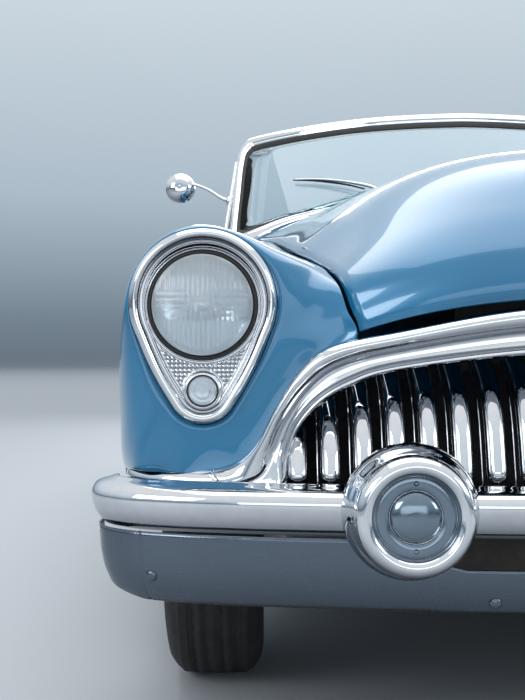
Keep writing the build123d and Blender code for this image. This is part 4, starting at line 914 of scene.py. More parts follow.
dish_profile = rounded([
    (0.0412, -0.0165), (0.0425, -0.0157), (0.048, -0.014), (0.056, -0.014), (0.06, -0.015), (0.061, -0.0168),
    (0.05, -0.018),
])
screw_profile = rounded([
    (0.001, 0.005), (0.0022, 0.0045), (0.004, 0.0015), (0.0042, -0.0015), (0.0036, -0.006),
])
dull_chrome = chromed("satin_chrome", (0.22, 0.28, 0.34), (0.1, 0.24))
for side, sign in SIDES:
    centre = (sign * 0.418, -2.615, 0.467)
    screws = [turned(screw_profile, (centre[0], -2.6, centre[2] + rise), 24) for rise in (-0.0515, 0.0515)]
    made = [
        hoop(f"guard_ring_{side}", turned(guard_profile, centre, 72), chrome, "body"),
        solid(f"guard_dome_{side}", turned(dome_profile, centre, 96), dull_chrome, "body"),
        hoop(f"guard_dish_{side}", turned(dish_profile, centre, 72), dull_chrome, "body"),
        solid(f"guard_screws_{side}", gathered(screws), dull_chrome, "body"),
    ]
    for part in made:
        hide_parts("bumper_guards")

# ------------------------------------------------------------------ windscreen
# One bowed sheet of glass, bedded in black rubber in a chromed frame with a second fine bead round it.
# Each row: x and z on the frame's outer edge, then on the edge of the glass, from the middle below to the
# middle above.
screen_keys = np.array([
    (0.0, 1.166, 0.0, 1.194), (0.3, 1.158, 0.3, 1.186), (0.55, 1.118, 0.54, 1.152),
    (0.69, 1.062, 0.665, 1.118),
    (0.752, 1.044, 0.718, 1.104), (0.757, 1.075, 0.7235, 1.13), (0.749, 1.2, 0.716, 1.225),
    (0.738, 1.35, 0.706, 1.345),
    (0.716, 1.43, 0.69, 1.395), (0.65, 1.458, 0.635, 1.416), (0.35, 1.4825, 0.35, 1.441),
    (0.0, 1.492, 0.0, 1.45),
])
half = through(
    np.arange(12), screen_keys,
    np.r_[
        np.linspace(0, 3, 30, endpoint=False), np.linspace(3, 9.5, 90, endpoint=False),
        np.linspace(9.5, 11, 16),
    ],
)
loop = np.vstack([half, (half * (-1, 1, -1, 1))[-2:0:-1]])

FRAME_TOP = 1.492


def screen_y(x, z):
    """The windscreen's sheet: it leans back with height, and sweeps back with the square of x."""
    return -1.075 + 0.275 * (x / 0.735) ** 2 + 0.88 * (z - 1.04)


def screen_band(name, profile, material, node_name):
    """A closed profile of (share from frame to glass, height forward) pairs carried round the glass."""
    profile = rounded(profile, 3)
    w, forward = profile[:, 0], profile[:, 1]
    x = loop[:, [0]] * (1 - w) + loop[:, [2]] * w
    z = loop[:, [1]] * (1 - w) + loop[:, [3]] * w
    y = screen_y(x, z) - 0.75 * forward
    made = hoop(name, (x, y, np.minimum(z + 0.66 * forward, FRAME_TOP)), material, "body")
    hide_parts(node_name)
    return made


frame_band = screen_band("windscreen_band", [
    (0.0, -0.02), (0.0, -0.002), (0.05, 0.003), (0.2, 0.006), (0.42, 0.005), (0.52, 0.001), (0.56, -0.001),
    (0.6, 0.001), (0.66, 0.003),
    (0.74, 0.001), (0.76, -0.004), (0.76, -0.02),
], chrome, "windscreen_frame")
rubber = screen_band(
    "windscreen_rubber",
    [
        (0.72, -0.018), (0.74, -0.003), (0.84, -0.001), (0.98, -0.004), (1.08, -0.008), (1.08, -0.016),
        (0.95, -0.019),
    ],
    gasket_rubber, "windscreen_frame",
)
screen_glass = clear_glass("windscreen_sheet", (0.8, 0.92, 0.96), 0.0, 0.02)
reach = np.linspace(0, 1, 10)[:, None]
middle = 1.3
glass_x = loop[:, 2][None, :] * (0.002 + reach)
glass_z = middle + (loop[:, 3][None, :] - middle) * (0.002 + reach)
glass = surface(
    "windscreen_sheet", glass_x, screen_y(glass_x, glass_z) + 0.008, glass_z, screen_glass, "body",
    wrap_columns=True, facing=(0, -1, 1),
)
walled(glass, 0.005, even=False)
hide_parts("windscreen_glass")

# ------------------------------------------------------------------ doors
# Each door is a steel box hung on two arms in front: a painted skin, and inside a card covered in
# leathercloth with pressed flutes, an armrest, and chromed handles.
side_trim = chromed("side_trim_chrome")


def flank_panel(stations, starts, floors, count):
    """The body's side between stations: each section from a start inside the crown down to a floor."""
    rows = np.array([
        section(y, valley_keys(y), x, floor, count)
        for y, x, floor in zip(stations, starts, floors)
    ])
    return rows[..., 0], np.asarray(stations)[:, None] + 0 * rows[..., 0], rows[..., 1]


# The valley inwards of the crown, from the cabin to the tail: y, x and z beside the boot lid, valley x and z.
valley_rows = np.array([
    (-0.9, 0.575, 1.04, 0.7, 1.03), (0.368, 0.575, 1.04, 0.7, 1.03), (0.9, 0.575, 1.028, 0.69, 1.018),
    (1.331, 0.575, 1.004, 0.67, 0.996), (1.62, 0.575, 0.98, 0.66, 0.971), (1.9, 0.575, 0.944, 0.65, 0.938),
    (2.1, 0.575, 0.897, 0.643, 0.893), (2.29, 0.575, 0.8375, 0.635, 0.838), (2.43, 0.575, 0.732, 0.625, 0.74),
    (2.49, 0.575, 0.64, 0.61, 0.65),
])


def valley_keys(y):
    """The section's two inner keys at y."""
    return through(valley_rows[:, 0], valley_rows[:, 1:], np.array([y]))[0]


leathercloth = plastic("blue_leathercloth", (0.02, 0.075, 0.12), 0.42, 420.0, 0.25)
door_stations = np.linspace(-0.862, 0.3595, 40)
x, y, z = flank_panel(door_stations, 0 * door_stations + 0.826, 0 * door_stations + 0.361, 56)
card_y = np.linspace(-0.7, 0.33, 94)[:, None]
card_z = np.linspace(0.4, 0.985, 36)[None, :]
flute = smooth(card_z, 0.6, 0.62) * smooth(0.9 - card_z, 0, 0.02)
flute = flute * smooth(card_y, -0.66, -0.64) * smooth(0.3 - card_y, 0, 0.02)
card_x = 0.8205 - 0.0035 * flute * np.abs(np.sin(pi * card_y / 0.045)) - 0.0025 * np.exp(
    -((card_z - 0.93) / 0.012) ** 2
)
rest_t = once_round(20)[None, :]
rest_y = np.linspace(-1, 1, 41)[:, None]
rest_end = np.sqrt(np.clip(1 - rest_y**6, 0.02, 1))
for side, sign in SIDES:
    body = f"door_{side}"
    skin = surface(f"door_skin_{side}", sign * x, y, z, paint, body, facing=(sign, 0, 0))
    walled(skin, 0.0012)
    card = surface(
        f"door_card_{side}", sign * card_x, card_y, card_z, leathercloth, body, facing=(-sign, 0, 0),
    )
    walled(card, 0.002)
    rest = solid(
        f"door_armrest_{side}",
        (
            sign * (0.79 + 0.03 * np.cos(rest_t) * rest_end), -0.1 + 0.19 * rest_y + 0 * rest_t,
            0.735 + 0.026 * np.sin(rest_t) * rest_end,
        ),
        leathercloth, body,
    )
    crank_knob = rounded([(0.0012, 0.032), (0.008, 0.03), (0.01, 0.022), (0.006, 0.014), (0.005, 0.002)])
    boss = rounded([(0.0012, 0.012), (0.012, 0.011), (0.02, 0.006), (0.022, 0.0)])
    inwards = (-sign, 0, 0)
    handles = [
        solid(
            f"window_crank_boss_{side}", turned(boss, (sign * 0.818, 0.08, 0.66), 40, inwards), side_trim,
            body,
        ),
        solid(
            f"window_crank_knob_{side}", turned(crank_knob, (sign * 0.812, 0.15, 0.69), 32, inwards),
            side_trim, body,
        ),
        solid(
            f"door_release_boss_{side}", turned(boss, (sign * 0.818, -0.35, 0.8), 40, inwards), side_trim,
            body,
        ),
    ]
    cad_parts[f"door_{side}"].data.materials[0] = paint


def tube(points, radii, sides=16):
    """A round bar along a smooth line: rings across it, each at a radius, held square to a fixed upright."""
    points = np.asarray(points, float)
    line = through(np.arange(len(points)), points, np.linspace(0, len(points) - 1, 7 * len(points)))
    radii = np.interp(
        np.linspace(0, 1, len(line)), np.linspace(0, 1, len(np.atleast_1d(radii))), np.atleast_1d(radii),
    )
    course = unit(np.gradient(line, axis=0))
    helper = np.where(np.abs(course[:, [2]]) < 0.9, (0, 0, 1.0), (1.0, 0, 0))
    first = unit(np.cross(course, helper))
    second = np.cross(course, first)
    angle = once_round(sides)[None, :, None]
    ring = np.cos(angle) * first[:, None] + np.sin(angle) * second[:, None]
    return np.moveaxis(line[:, None] + radii[:, None, None] * ring, -1, 0)


for side, sign in SIDES:
    pull = [
        (0.945, 0.165, 0.872), (0.97, 0.18, 0.874), (0.9708, 0.24, 0.874), (0.97, 0.3, 0.874),
        (0.945, 0.315, 0.872),
    ]
    x, y, z = tube(pull, (0.005, 0.008, 0.007, 0.008, 0.005))
    handle = solid(f"door_handle_{side}", (sign * x, y, z), side_trim, f"door_{side}")
    x, y, z = tube([(0.8165, 0.08, 0.66), (0.802, 0.1, 0.672), (0.802, 0.15, 0.69)], (0.007, 0.005, 0.006))
    crank = solid(f"window_crank_arm_{side}", (sign * x, y, z), side_trim, f"door_{side}")
    x, y, z = tube([(0.8165, -0.35, 0.8), (0.8, -0.33, 0.8), (0.798, -0.26, 0.8)], (0.006, 0.006, 0.004))
    release = solid(f"door_release_{side}", (sign * x, y, z), side_trim, f"door_{side}")

# ------------------------------------------------------------------ quarter panels
# The rear sides: one pressing each from the door round the wheel to the tail, with a valley beside the
# boot lid.
REAR_AXLE_Y, REAR_ARCH_RADIUS, TAIL_Y = 1.331, 0.395, 2.49
stations = np.sort(np.r_[
    arch_stations(0.3685, TAIL_Y - 0.06, REAR_AXLE_Y, REAR_ARCH_RADIUS), (1.158, 1.162),
    TAIL_Y - 0.06 * np.cos(np.linspace(0.1, pi / 2, 12)),
])
starts = np.where(stations < 1.16, 0.795, 0.576)
x, y, z = flank_panel(stations, starts, arch_floor(stations, REAR_AXLE_Y, REAR_ARCH_RADIUS), 54)
face_t = np.linspace(0, 1, 16)[:, None]
face = (x[-1] + 0 * face_t, TAIL_Y + 0 * face_t * x[-1], z[-1] + (0.4905 - z[-1]) * face_t)
for side, sign in SIDES:
    quarter = surface(f"quarter_skin_{side}", sign * x, y, z, paint, "body", facing=(sign, 0, 1))
    tail_face = surface(
        f"quarter_face_{side}", sign * face[0], face[1], face[2], paint, "body", facing=(0, -1, 0),
    )
    for made in (quarter, tail_face):
        walled(made, 0.006)
        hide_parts(f"quarter_panel_{side}")

# ------------------------------------------------------------------ side trim and boot
# A long chromed strip along each side, and the boot lid: one pressing that falls to the tail, hinged in
# front.
lid_rows = np.array([
    (1.62, 1.004, 0.98), (1.8, 0.985, 0.961), (2.00, 0.943, 0.923), (2.2, 0.879, 0.867), (2.3, 0.842, 0.835),
    (2.37, 0.797, 0.793), (2.42, 0.742, 0.742), (2.455, 0.695, 0.698), (2.478, 0.648, 0.656),
    (2.4885, 0.602, 0.606),
    (2.4895, 0.562, 0.562),
])
along = through(np.arange(11), lid_rows, np.linspace(0, 10, 61))
u = np.linspace(-1, 1, 41)[None, :]
lid = surface(
    "boot_lid_skin", 0.567 * u, along[:, [0]] + 0 * u,
    along[:, [1]] - (along[:, [1]] - along[:, [2]]) * np.abs(u) ** 2.4, paint, "boot_lid", facing=(0, 1, 2),
)
walled(lid, 0.01)
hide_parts("boot_lid")
lid_handle = solid(
    "boot_handle",
    tube(
        [
            (-0.1, 2.4895, 0.615), (-0.07, 2.505, 0.618), (0, 2.512, 0.62), (0.07, 2.505, 0.618),
            (0.1, 2.4895, 0.615),
        ],
        (0.006, 0.01, 0.01, 0.01, 0.006),
    ),
    side_trim, "boot_lid",
)
for name in ("rear_deck_panel", "tail_panel"):
    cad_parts[name].data.materials[0] = paint

STRIP_Z = 0.585


def side_strip(start, end):
    """A half-round strip on the body's side, tapered to both its ends."""
    at = np.linspace(start, end, 60)
    keys = through(side_rows[:, 0], side_rows[:, 1:], at).reshape(-1, 5, 2)
    around = once_round(16)[None, :]
    fine = through(np.arange(5), np.moveaxis(keys, 1, 0), np.linspace(0, 4, 161))
    x_at = np.array([np.interp(-STRIP_Z, -fine[:, k, 1], fine[:, k, 0]) for k in range(len(at))])[:, None]
    share = np.clip(np.minimum(at - start, end - at) / 0.05, 0.05, 1)[:, None] ** 0.5
    x = x_at + 0.0005 + 0.005 * np.cos(around) * share
    return x, at[:, None] + 0 * around, STRIP_Z + 0.011 * np.sin(around) * share


for side, sign in SIDES:
    for name, start, end, body in (
        ("wing", -1.33, -0.875, "body"), ("door", -0.86, 0.356, f"door_{side}"),
        ("quarter", 0.372, 0.86, "body"),
    ):
        x, y, z = side_strip(start, end)
        strip = solid(f"side_strip_{name}_{side}", (sign * x, y, z), side_trim, body)

# ------------------------------------------------------------------ tail lamps
# Round red lenses, fluted in rings, in chromed bullet-shaped
# rims on the tail's face.
red_lens, tree, node = shader("red_lamp_glass", Roughness=0.12, IOR=1.49)
node.inputs["Transmission Weight"].default_value = 0.6
place = object_place(tree)
mottle = noise(tree, place, 60.0, 3.0)
tree.links.new(
    ramp(tree, mottle, (0.3, (0.42, 0.01, 0.008)), (0.7, (0.56, 0.02, 0.014))), node.inputs["Base Color"],
)
lens_radius = np.linspace(0.0012, 0.036, 60)
lens_height = 0.03 + 0.0085 * (1 - (lens_radius / 0.036) ** 2) + 0.0008 * np.cos(2 * pi * lens_radius / 0.006)
lens_profile = np.vstack([np.stack([lens_radius, lens_height], axis=-1), [(0.0365, 0.02)]])
rim_profile = rounded([
    (0.045, 0.001), (0.045, 0.012), (0.0445, 0.024), (0.0425, 0.031), (0.0395, 0.0335), (0.037, 0.031),
    (0.0365, 0.022), (0.0365, 0.001),
])
for side, sign in SIDES:
    centre = (sign * 0.74, 2.49, 0.7)
    rim = hoop(f"tail_lamp_rim_{side}", turned(rim_profile, centre, 80, (0, 1, 0)), side_trim, "body")
    lens_piece = solid(
        f"tail_lamp_lens_{side}", turned(lens_profile, centre, 80, (0, 1, 0)), red_lens, "body",
    )
    for made, slot in ((rim, "bright_metal"), (lens_piece, "red_lens")):
        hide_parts("tail_lamps")

# ------------------------------------------------------------------ rear bumper
# A chromed roll across the tail, bent forward at both its ends and rounded off there, with its edges
# turned in.
rear_plan = [
    (0, 2.6146), (0.19, 2.61), (0.38, 2.597), (0.57, 2.575), (0.74, 2.55), (0.83, 2.512), (0.89, 2.466),
    (0.93, 2.41), (0.955, 2.345),
]
rear_section = rounded([
    (-0.038, 0.452), (-0.037, 0.4635), (-0.028, 0.4645), (-0.012, 0.46), (-0.002, 0.447), (0.0, 0.426),
    (-0.003, 0.404),
    (-0.01, 0.387), (-0.021, 0.3755), (-0.031, 0.3715), (-0.036, 0.3775), (-0.036, 0.395),
])
rear_bar = solid(
    "rear_bumper_roll", mirrored(*bumper_roll(rear_plan, rear_section, (-0.022, 0.418), 80, -1)), chrome,
    "body",
)
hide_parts("rear_bumper")

# ------------------------------------------------------------------ vent windows and mirrors
# A small pane in a chromed frame stands at the front of each door and leans in with the windscreen. A
# round chromed mirror sits on a curved arm from its frame.
VENT_LEAN = radians(6.5)


def vent_point(y, height, out):
    """A point on the vent window's leaning plane: along the car, up the plane, and out from it."""
    x = 0.783 - sin(VENT_LEAN) * height + cos(VENT_LEAN) * out
    return x, y + 0 * height, 1.0088 + cos(VENT_LEAN) * height + sin(VENT_LEAN) * out


corners = np.array([(-0.73, 0.0072), (-0.4072, 0.0072), (-0.4072, 0.366), (-0.4205, 0.368)])
line = paced(corners, 120, closed=True)
course = loop_course(line)
around = once_round(16)[None, :]
tube_in = 0.0068 * np.cos(around)
frame_y = line[:, [0]] - course[:, [1]] * tube_in
frame_h = line[:, [1]] + course[:, [0]] * tube_in
frame_points = vent_point(frame_y, frame_h, 0.0068 * np.sin(around))
pane_t = np.linspace(0, 1, 30)[:, None]
pane_h = 0.012 + 0.35 * pane_t
pane_y = -0.4085 + (-0.722 + 0.325 * pane_h / 0.375 + 0.4085) * np.linspace(0, 1, 20)[None, :]
pane = vent_point(pane_y, pane_h + 0 * pane_y, 0.002)
mirror_shell = rounded([
    (0.0455, -0.02), (0.048, -0.0235), (0.05, -0.02), (0.05, -0.01), (0.0475, 0.006), (0.04, 0.018),
    (0.028, 0.025), (0.014, 0.0278), (0.0012, 0.028),
])
mirror_face = [(0.0455, -0.0195), (0.03, -0.019), (0.0012, -0.0185)]
mirror_silver = chromed("mirror_glass", (0.88, 0.9, 0.91), (0.01, 0.03), pits=0.0, film=0.0)
for side, sign in SIDES:
    body = f"door_{side}"
    vent_frame = hoop(f"vent_frame_{side}", (sign * frame_points[0], *frame_points[1:]), chrome, body)
    vent_pane = surface(
        f"vent_pane_{side}", sign * pane[0], *pane[1:], screen_glass, body, facing=(sign, 0, 0),
    )
    walled(vent_pane, 0.004)
    for made, slot in ((vent_frame, "bright_metal"), (vent_pane, "clear_glass")):
        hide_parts(f"vent_window_{side}")
    head = (sign * 0.9296, -0.54, 1.27)
    x, y, z = tube(
        [
            (0.912, -0.548, 1.28), (0.88, -0.55, 1.279), (0.835, -0.55, 1.262), (0.79, -0.55, 1.234),
            (0.7635, -0.55, 1.224),
        ],
        (0.004, 0.0045, 0.005, 0.007),
    )
    foot = rounded([(0.0012, 0.01), (0.008, 0.009), (0.013, 0.005), (0.015, 0.0), (0.015, -0.003)])
    parts = [
        solid(f"mirror_head_{side}", turned(mirror_shell, head, 80), chrome, body),
        solid(f"mirror_glass_{side}", turned(mirror_face, head, 64), mirror_silver, body),
        solid(f"mirror_arm_{side}", (sign * x, y, z), chrome, body),
        solid(
            f"mirror_foot_{side}", turned(foot, (sign * 0.764, -0.55, 1.224), 32, (sign, 0, 0.114)), chrome,
            body,
        ),
    ]
    for made in parts:
        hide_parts(f"mirror_{side}")

# ------------------------------------------------------------------ wipers
# Two chromed wiper arms on domed pivots in the cowl, each
# with a rubber blade lying on the glass.
for side, sign in SIDES:
    base_x = -0.25 if side == "right" else 0.42
    pivot = (base_x, -0.985, 1.158 - 0.12 * (abs(base_x) / 0.67) ** 3)
    tip_x = base_x - 0.3
    post = rounded([
        (0.0012, 0.022), (0.009, 0.02), (0.013, 0.012), (0.014, 0.0), (0.018, -0.004), (0.018, -0.014),
    ])
    reach = np.linspace(0, 1, 6)
    on_glass_x = base_x + (tip_x - base_x) * reach
    on_glass_z = pivot[2] + 0.016 + 0.15 * reach**0.8 * (1 - 0.35 * reach)
    lift = 0.02 * (1 - reach) + 0.006
    arm = np.stack([on_glass_x, screen_y(on_glass_x, on_glass_z) - lift, on_glass_z + 0.5 * lift], axis=-1)
    arm[0] = (pivot[0], pivot[1] - 0.002, pivot[2] + 0.016)
    blade_at = np.linspace(0.28, 1.0, 6)
    blade_x = base_x + (tip_x - base_x) * blade_at
    blade_z = pivot[2] + 0.016 + 0.15 * blade_at**0.8 * (1 - 0.35 * blade_at)
    blade = np.stack([blade_x, screen_y(blade_x, blade_z) - 0.003, blade_z + 0.002], axis=-1)
    parts = [
        (
            solid(f"wiper_post_{side}", turned(post, pivot, 32, (0, -0.45, 0.9)), chrome, "body"),
            "bright_metal",
        ),
        (solid(f"wiper_arm_{side}", tube(arm, (0.006, 0.004, 0.003), 14), chrome, "body"), "bright_metal"),
        (
            solid(f"wiper_blade_{side}", tube(blade, (0.0025, 0.004, 0.0025), 10), gasket_rubber, "body"),
            "trim_plastic",
        ),
    ]

# ------------------------------------------------------------------ dashboard
# A painted steel panel that rolls over at its top, with a chromed waist band, round dials in front of the
# driver, a clock, a chromed speaker grille and a row of ivory knobs.
dash_u = np.linspace(-1, 1, 81)[None, :]
dash_top = 1.148 - 0.112 * np.abs(dash_u) ** 3
dash_keys = rounded([
    (-0.739, 0.0), (-0.7, 0.0), (-0.66, -0.002), (-0.628, -0.012), (-0.608, -0.034), (-0.602, -0.07),
    (-0.601, -0.12),
    (-0.604, -0.17), (-0.614, -0.215), (-0.634, -0.25), (-0.67, -0.268), (-0.739, -0.27),
], 4)
dash_depth = dash_keys[:, [1]] * (dash_top - 0.852) / 0.296 * 1.09
dash_y = dash_keys[:, [0]] + 0 * dash_u
dash_z = np.maximum(dash_top + dash_depth, 0.851)
dash = surface("dash_panel", 0.753 * dash_u, dash_y, dash_z, paint, "body", facing=(0, 1, 0))
walled(dash, 0.004)
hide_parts("dashboard")
dial_black = plastic("dial_face_black", (0.008, 0.009, 0.01), 0.35, 500.0, 0.05)
ivory = plastic("ivory_moulding", (0.55, 0.52, 0.42), 0.28, 90.0, 0.05)
dial_rim = rounded([(1.0, -0.004), (1.0, 0.006), (0.97, 0.01), (0.9, 0.01), (0.87, 0.005), (0.87, -0.004)])


def dial(name, x, z, radius, marks):
    """A round instrument: a black dished face, a chromed rim, a ring of upright marks and a needle."""
    centre = np.array((x, -0.6, z))
    rim = dial_rim * (radius, 1)
    face = [(0.0012, 0.001), (0.5 * radius, 0.0015), (0.88 * radius, 0.003)]
    turn = np.linspace(-0.75 * pi, 0.75 * pi, marks)[:, None, None]
    length = (np.array([0.66, 0.66, 0.8, 0.8])[None, None, :]) * radius
    half = (np.array([-1, 1, 1, -1])[None, None, :]) * 0.0008
    height = np.array([0.0028, 0.0038])[None, :, None]
    tick_x = centre[0] - (length * np.sin(turn) + half * np.cos(turn)) + 0 * height
    tick_z = centre[2] + (length * np.cos(turn) - half * np.sin(turn)) + 0 * height
    needle = tube(
        [
            centre + (0, 0.005, 0), centre + (0.3 * radius, 0.005, 0.3 * radius),
            centre + (0.52 * radius, 0.005, 0.52 * radius),
        ],
        (0.0016, 0.0008), 8,
    )
    hub = rounded([(0.0008, 0.007), (0.004, 0.006), (0.0045, 0.001)])
    parts = [
        (hoop(f"{name}_rim", turned(rim, centre, 64, (0, 1, 0)), side_trim, "body"), "bright_metal"),
        (solid(f"{name}_face", turned(face, centre, 48, (0, 1, 0)), dial_black, "body"), "trim_plastic"),
        (solid(f"{name}_marks", (tick_x, centre[1] + height, tick_z), ivory, "body"), "trim_plastic"),
        (solid(f"{name}_needle", needle, ivory, "body"), "trim_plastic"),
        (solid(f"{name}_hub", turned(hub, centre, 24, (0, 1, 0)), side_trim, "body"), "bright_metal"),
    ]


dial("speedometer", 0.38, 1.01, 0.062, 25)
dial("fuel_gauge", 0.262, 0.995, 0.038, 9)
dial("heat_gauge", 0.498, 0.985, 0.038, 9)
dial("clock", -0.3, 1.000, 0.042, 13)
band_y, band_z = -0.598, 0.915
band = solid(
    "dash_band",
    tube(
        [
            (-0.735, -0.607, 0.902), (-0.4, band_y, band_z), (0, band_y, band_z + 0.004),
            (0.4, band_y, band_z), (0.735, -0.607, 0.902),
        ],
        (0.004, 0.007, 0.007, 0.007, 0.004), 16,
    ),
    side_trim, "body",
)
slat_x = np.linspace(-0.085, 0.085, 15)[:, None, None]
slat_t = np.linspace(0, 1, 8)[None, :, None]
slat_a = once_round(8)[None, None, :]
slats = solid(
    "radio_grille",
    (
        slat_x + 0.0028 * np.cos(slat_a) + 0 * slat_t,
        -0.5995 + 0.003 * np.sin(slat_a) + 0 * slat_t + 0 * slat_x,
        0.945 + 0.1 * slat_t + 0 * slat_x + 0 * slat_a,
    ),
    side_trim, "body",
)
knob = rounded([
    (0.0012, 0.026), (0.009, 0.025), (0.0115, 0.02), (0.0105, 0.01), (0.006, 0.006), (0.006, 0.0),
])
KNOBS_X = (-0.14, -0.07, 0.0, 0.07, 0.14, 0.24, 0.56)
knobs = solid(
    "dash_knobs", gathered([turned(knob, (x, -0.604, 0.885), 24, (0, 1, 0)) for x in KNOBS_X]), ivory, "body",
)

# ------------------------------------------------------------------ steering wheel and column
# A thin ivory rim with finger grips behind, two flat spokes,
# a chromed horn ring and a domed boss.
hub_at = np.array((0.38, -0.33, 0.92))
towards = np.array((0, 1, 0.45)) / np.hypot(1, 0.45)
wheel_up = np.cross(np.array((1.0, 0, 0)), towards)
turn = once_round(180)[:, None]
grip = once_round(20)[None, :]
rim_tube = 0.0105 - 0.0012 * (0.5 - 0.5 * np.cos(36 * turn)) * np.clip(-np.sin(grip), 0, 1)
rim_r, rim_h = 0.215 + rim_tube * np.cos(grip), rim_tube * np.sin(grip)
rim_x, rim_up = rim_r * np.cos(turn), rim_r * np.sin(turn)
rim_points = hub_at + rim_x[..., None] * (1.0, 0, 0) + rim_up[..., None] * wheel_up
rim_points = rim_points + rim_h[..., None] * towards
horn_arc = np.linspace(-1.05 * pi, 0.05 * pi, 9)
horn_line = hub_at + 0.018 * towards + 0.118 * (
    np.cos(horn_arc)[:, None] * (1.0, 0, 0) + np.sin(horn_arc)[:, None] * wheel_up
)
boss_profile = rounded([
    (0.0012, 0.03), (0.015, 0.029), (0.03, 0.0235), (0.0375, 0.015), (0.038, 0.004), (0.038, -0.024),
    (0.0235, -0.025), (0.0235, -0.02),
])
parts = [(hoop("steering_rim", np.moveaxis(rim_points, -1, 0), ivory, "steering_wheel"), "trim_plastic")]
for side, sign in SIDES:
    spoke = [
        hub_at + (sign * 0.03, 0, 0) + 0.004 * towards, hub_at + (sign * 0.12, 0, 0) + 0.001 * towards,
        hub_at + (sign * 0.208, 0, 0),
    ]
    parts.append((
        solid(f"steering_spoke_{side}", tube(spoke, (0.012, 0.009, 0.007), 18), ivory, "steering_wheel"),
        "trim_plastic",
    ))
parts += [
    (solid("horn_ring", tube(horn_line, (0.0035,), 14), side_trim, "steering_wheel"), "bright_metal"),
    (
        solid("steering_boss", turned(boss_profile, hub_at, 64, towards), side_trim, "steering_wheel"),
        "bright_metal",
    ),
]
for made, slot in parts:
    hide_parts("steering_wheel")
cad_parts["steering_column"].data.materials[0] = ivory

# ------------------------------------------------------------------ wheels and tyres
# Pressed steel wheels, painted, with chromed dished covers, and crossply tyres with a zigzag ribbed tread
# and a white band on the outer wall.
wheel_paint = plastic("wheel_enamel", (0.012, 0.13, 0.27), 0.25, 200.0, 0.03)
rubber, tree, node = shader("tyre_rubber", Roughness=0.72)
place = object_place(tree)
scuff = noise(tree, place, 26.0, 6.0, 0.7)
tree.links.new(
    ramp(tree, scuff, (0.35, (0.006, 0.006, 0.007)), (0.75, (0.022, 0.021, 0.02))), node.inputs["Base Color"],
)
pores = noise(tree, place, 650.0, 2.0)
bumped(tree, node, pores, 0.3, 0.0008)
white_rubber = plastic("white_wall_rubber", (0.5, 0.49, 0.46), 0.6, 120.0, 0.1)
tyre_keys = np.array([
    (0.1965, -0.088), (0.201, -0.094), (0.215, -0.0985), (0.26, -0.1025), (0.3, -0.101), (0.323, -0.095),
    (0.34, -0.083),
    (0.3475, -0.074), (0.35, -0.072), (0.353, -0.066), (0.3545, -0.04), (0.3548, 0.0), (0.3545, 0.04),
    (0.353, 0.066),
    (0.35, 0.072), (0.3475, 0.074), (0.34, 0.083), (0.323, 0.095), (0.3, 0.101), (0.26, 0.1025),
    (0.215, 0.0985),
    (0.201, 0.094), (0.1965, 0.088),
])
BLOCKS = 54
tyre_profile = through(
    np.arange(23), tyre_keys,
    np.r_[np.linspace(0, 8, 14), np.linspace(8.08, 13.92, 48), np.linspace(14, 22, 14)],
)
turn = once_round(108)[None, :]
across = tyre_profile[:, [1]]
zigzag = 0.0042 * (2 * np.abs((turn * BLOCKS / (2 * pi)) % 1 * 2 - 1) - 1)
groove = sum(
    smooth(0.0034 - np.abs(across - at - zigzag), 0, 0.0016)
    for at in (-0.044, -0.0145, 0.0145, 0.044)
)
sipe = smooth(0.16 - np.abs((turn * BLOCKS / (2 * pi)) % 1 - 0.5), 0, 0.1)
sipe = sipe * smooth(np.abs(across), 0.052, 0.056) * smooth(0.082 - np.abs(across), 0, 0.004)
ridges = 0.0009 * smooth(np.abs(across), 0.09, 0.093) * np.cos(2 * pi * tyre_profile[:, [0]] / 0.016)
radius = tyre_profile[:, [0]] - 0.0075 * np.clip(groove, 0, 1) - 0.0035 * sipe
wall_keys = through(np.arange(23), tyre_keys, np.linspace(18.15, 20.6, 12))
cover_keys = rounded([
    (0.0012, 0.0975), (0.014, 0.097), (0.03, 0.095), (0.04, 0.0915), (0.044, 0.088), (0.0465, 0.087),
    (0.053, 0.0885), (0.064, 0.089),
    (0.08, 0.085), (0.105, 0.0785), (0.13, 0.0735), (0.146, 0.072), (0.156, 0.0735), (0.163, 0.0715),
    (0.167, 0.066), (0.1665, 0.063),
])
trim_keys = rounded([
    (0.1875, 0.082), (0.1885, 0.0905), (0.193, 0.0935), (0.1985, 0.0955), (0.203, 0.0965), (0.204, 0.0945),
    (0.199, 0.0905), (0.1965, 0.085),
])
for end, axle in (("front", AXLE_Y), ("rear", REAR_AXLE_Y)):
    for side, sign in SIDES:
        body, hub = f"road_wheel_{end}_{side}", (sign * WHEEL_X, axle, AXLE_Z)
        tyre = hoop(
            f"tyre_skin_{end}_{side}",
            (
                hub[0] + across + np.sign(across) * ridges + 0 * turn, hub[1] + radius * np.cos(turn),
                hub[2] + radius * np.sin(turn),
            ),
            rubber, body,
        )
        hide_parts(f"tyre_{end}_{side}")
        white = surface(
            f"white_wall_{end}_{side}", *turned(wall_keys + (0, 0.0007), hub, 108, (sign, 0, 0)),
            white_rubber, body, wrap_columns=True, facing=(sign, 0, 0),
        )
        walled(white, 0.0006)
        cover = solid(f"wheel_cover_{end}_{side}", turned(cover_keys, hub, 60, (sign, 0, 0)), chrome, body)
        trim = hoop(f"wheel_trim_{end}_{side}", turned(trim_keys, hub, 72, (sign, 0, 0)), chrome, body)
        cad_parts[f"wheel_{end}_{side}"].data.materials[0] = wheel_paint

# ------------------------------------------------------------------ seats
# Sprung benches in pale leather: a pleated cushion and two backs in front, which fold on the real car, and a
# cushion and a back behind. Horsehair and springs swell the hide between its sewn pleats, and a blue piping
# cord runs round each face.


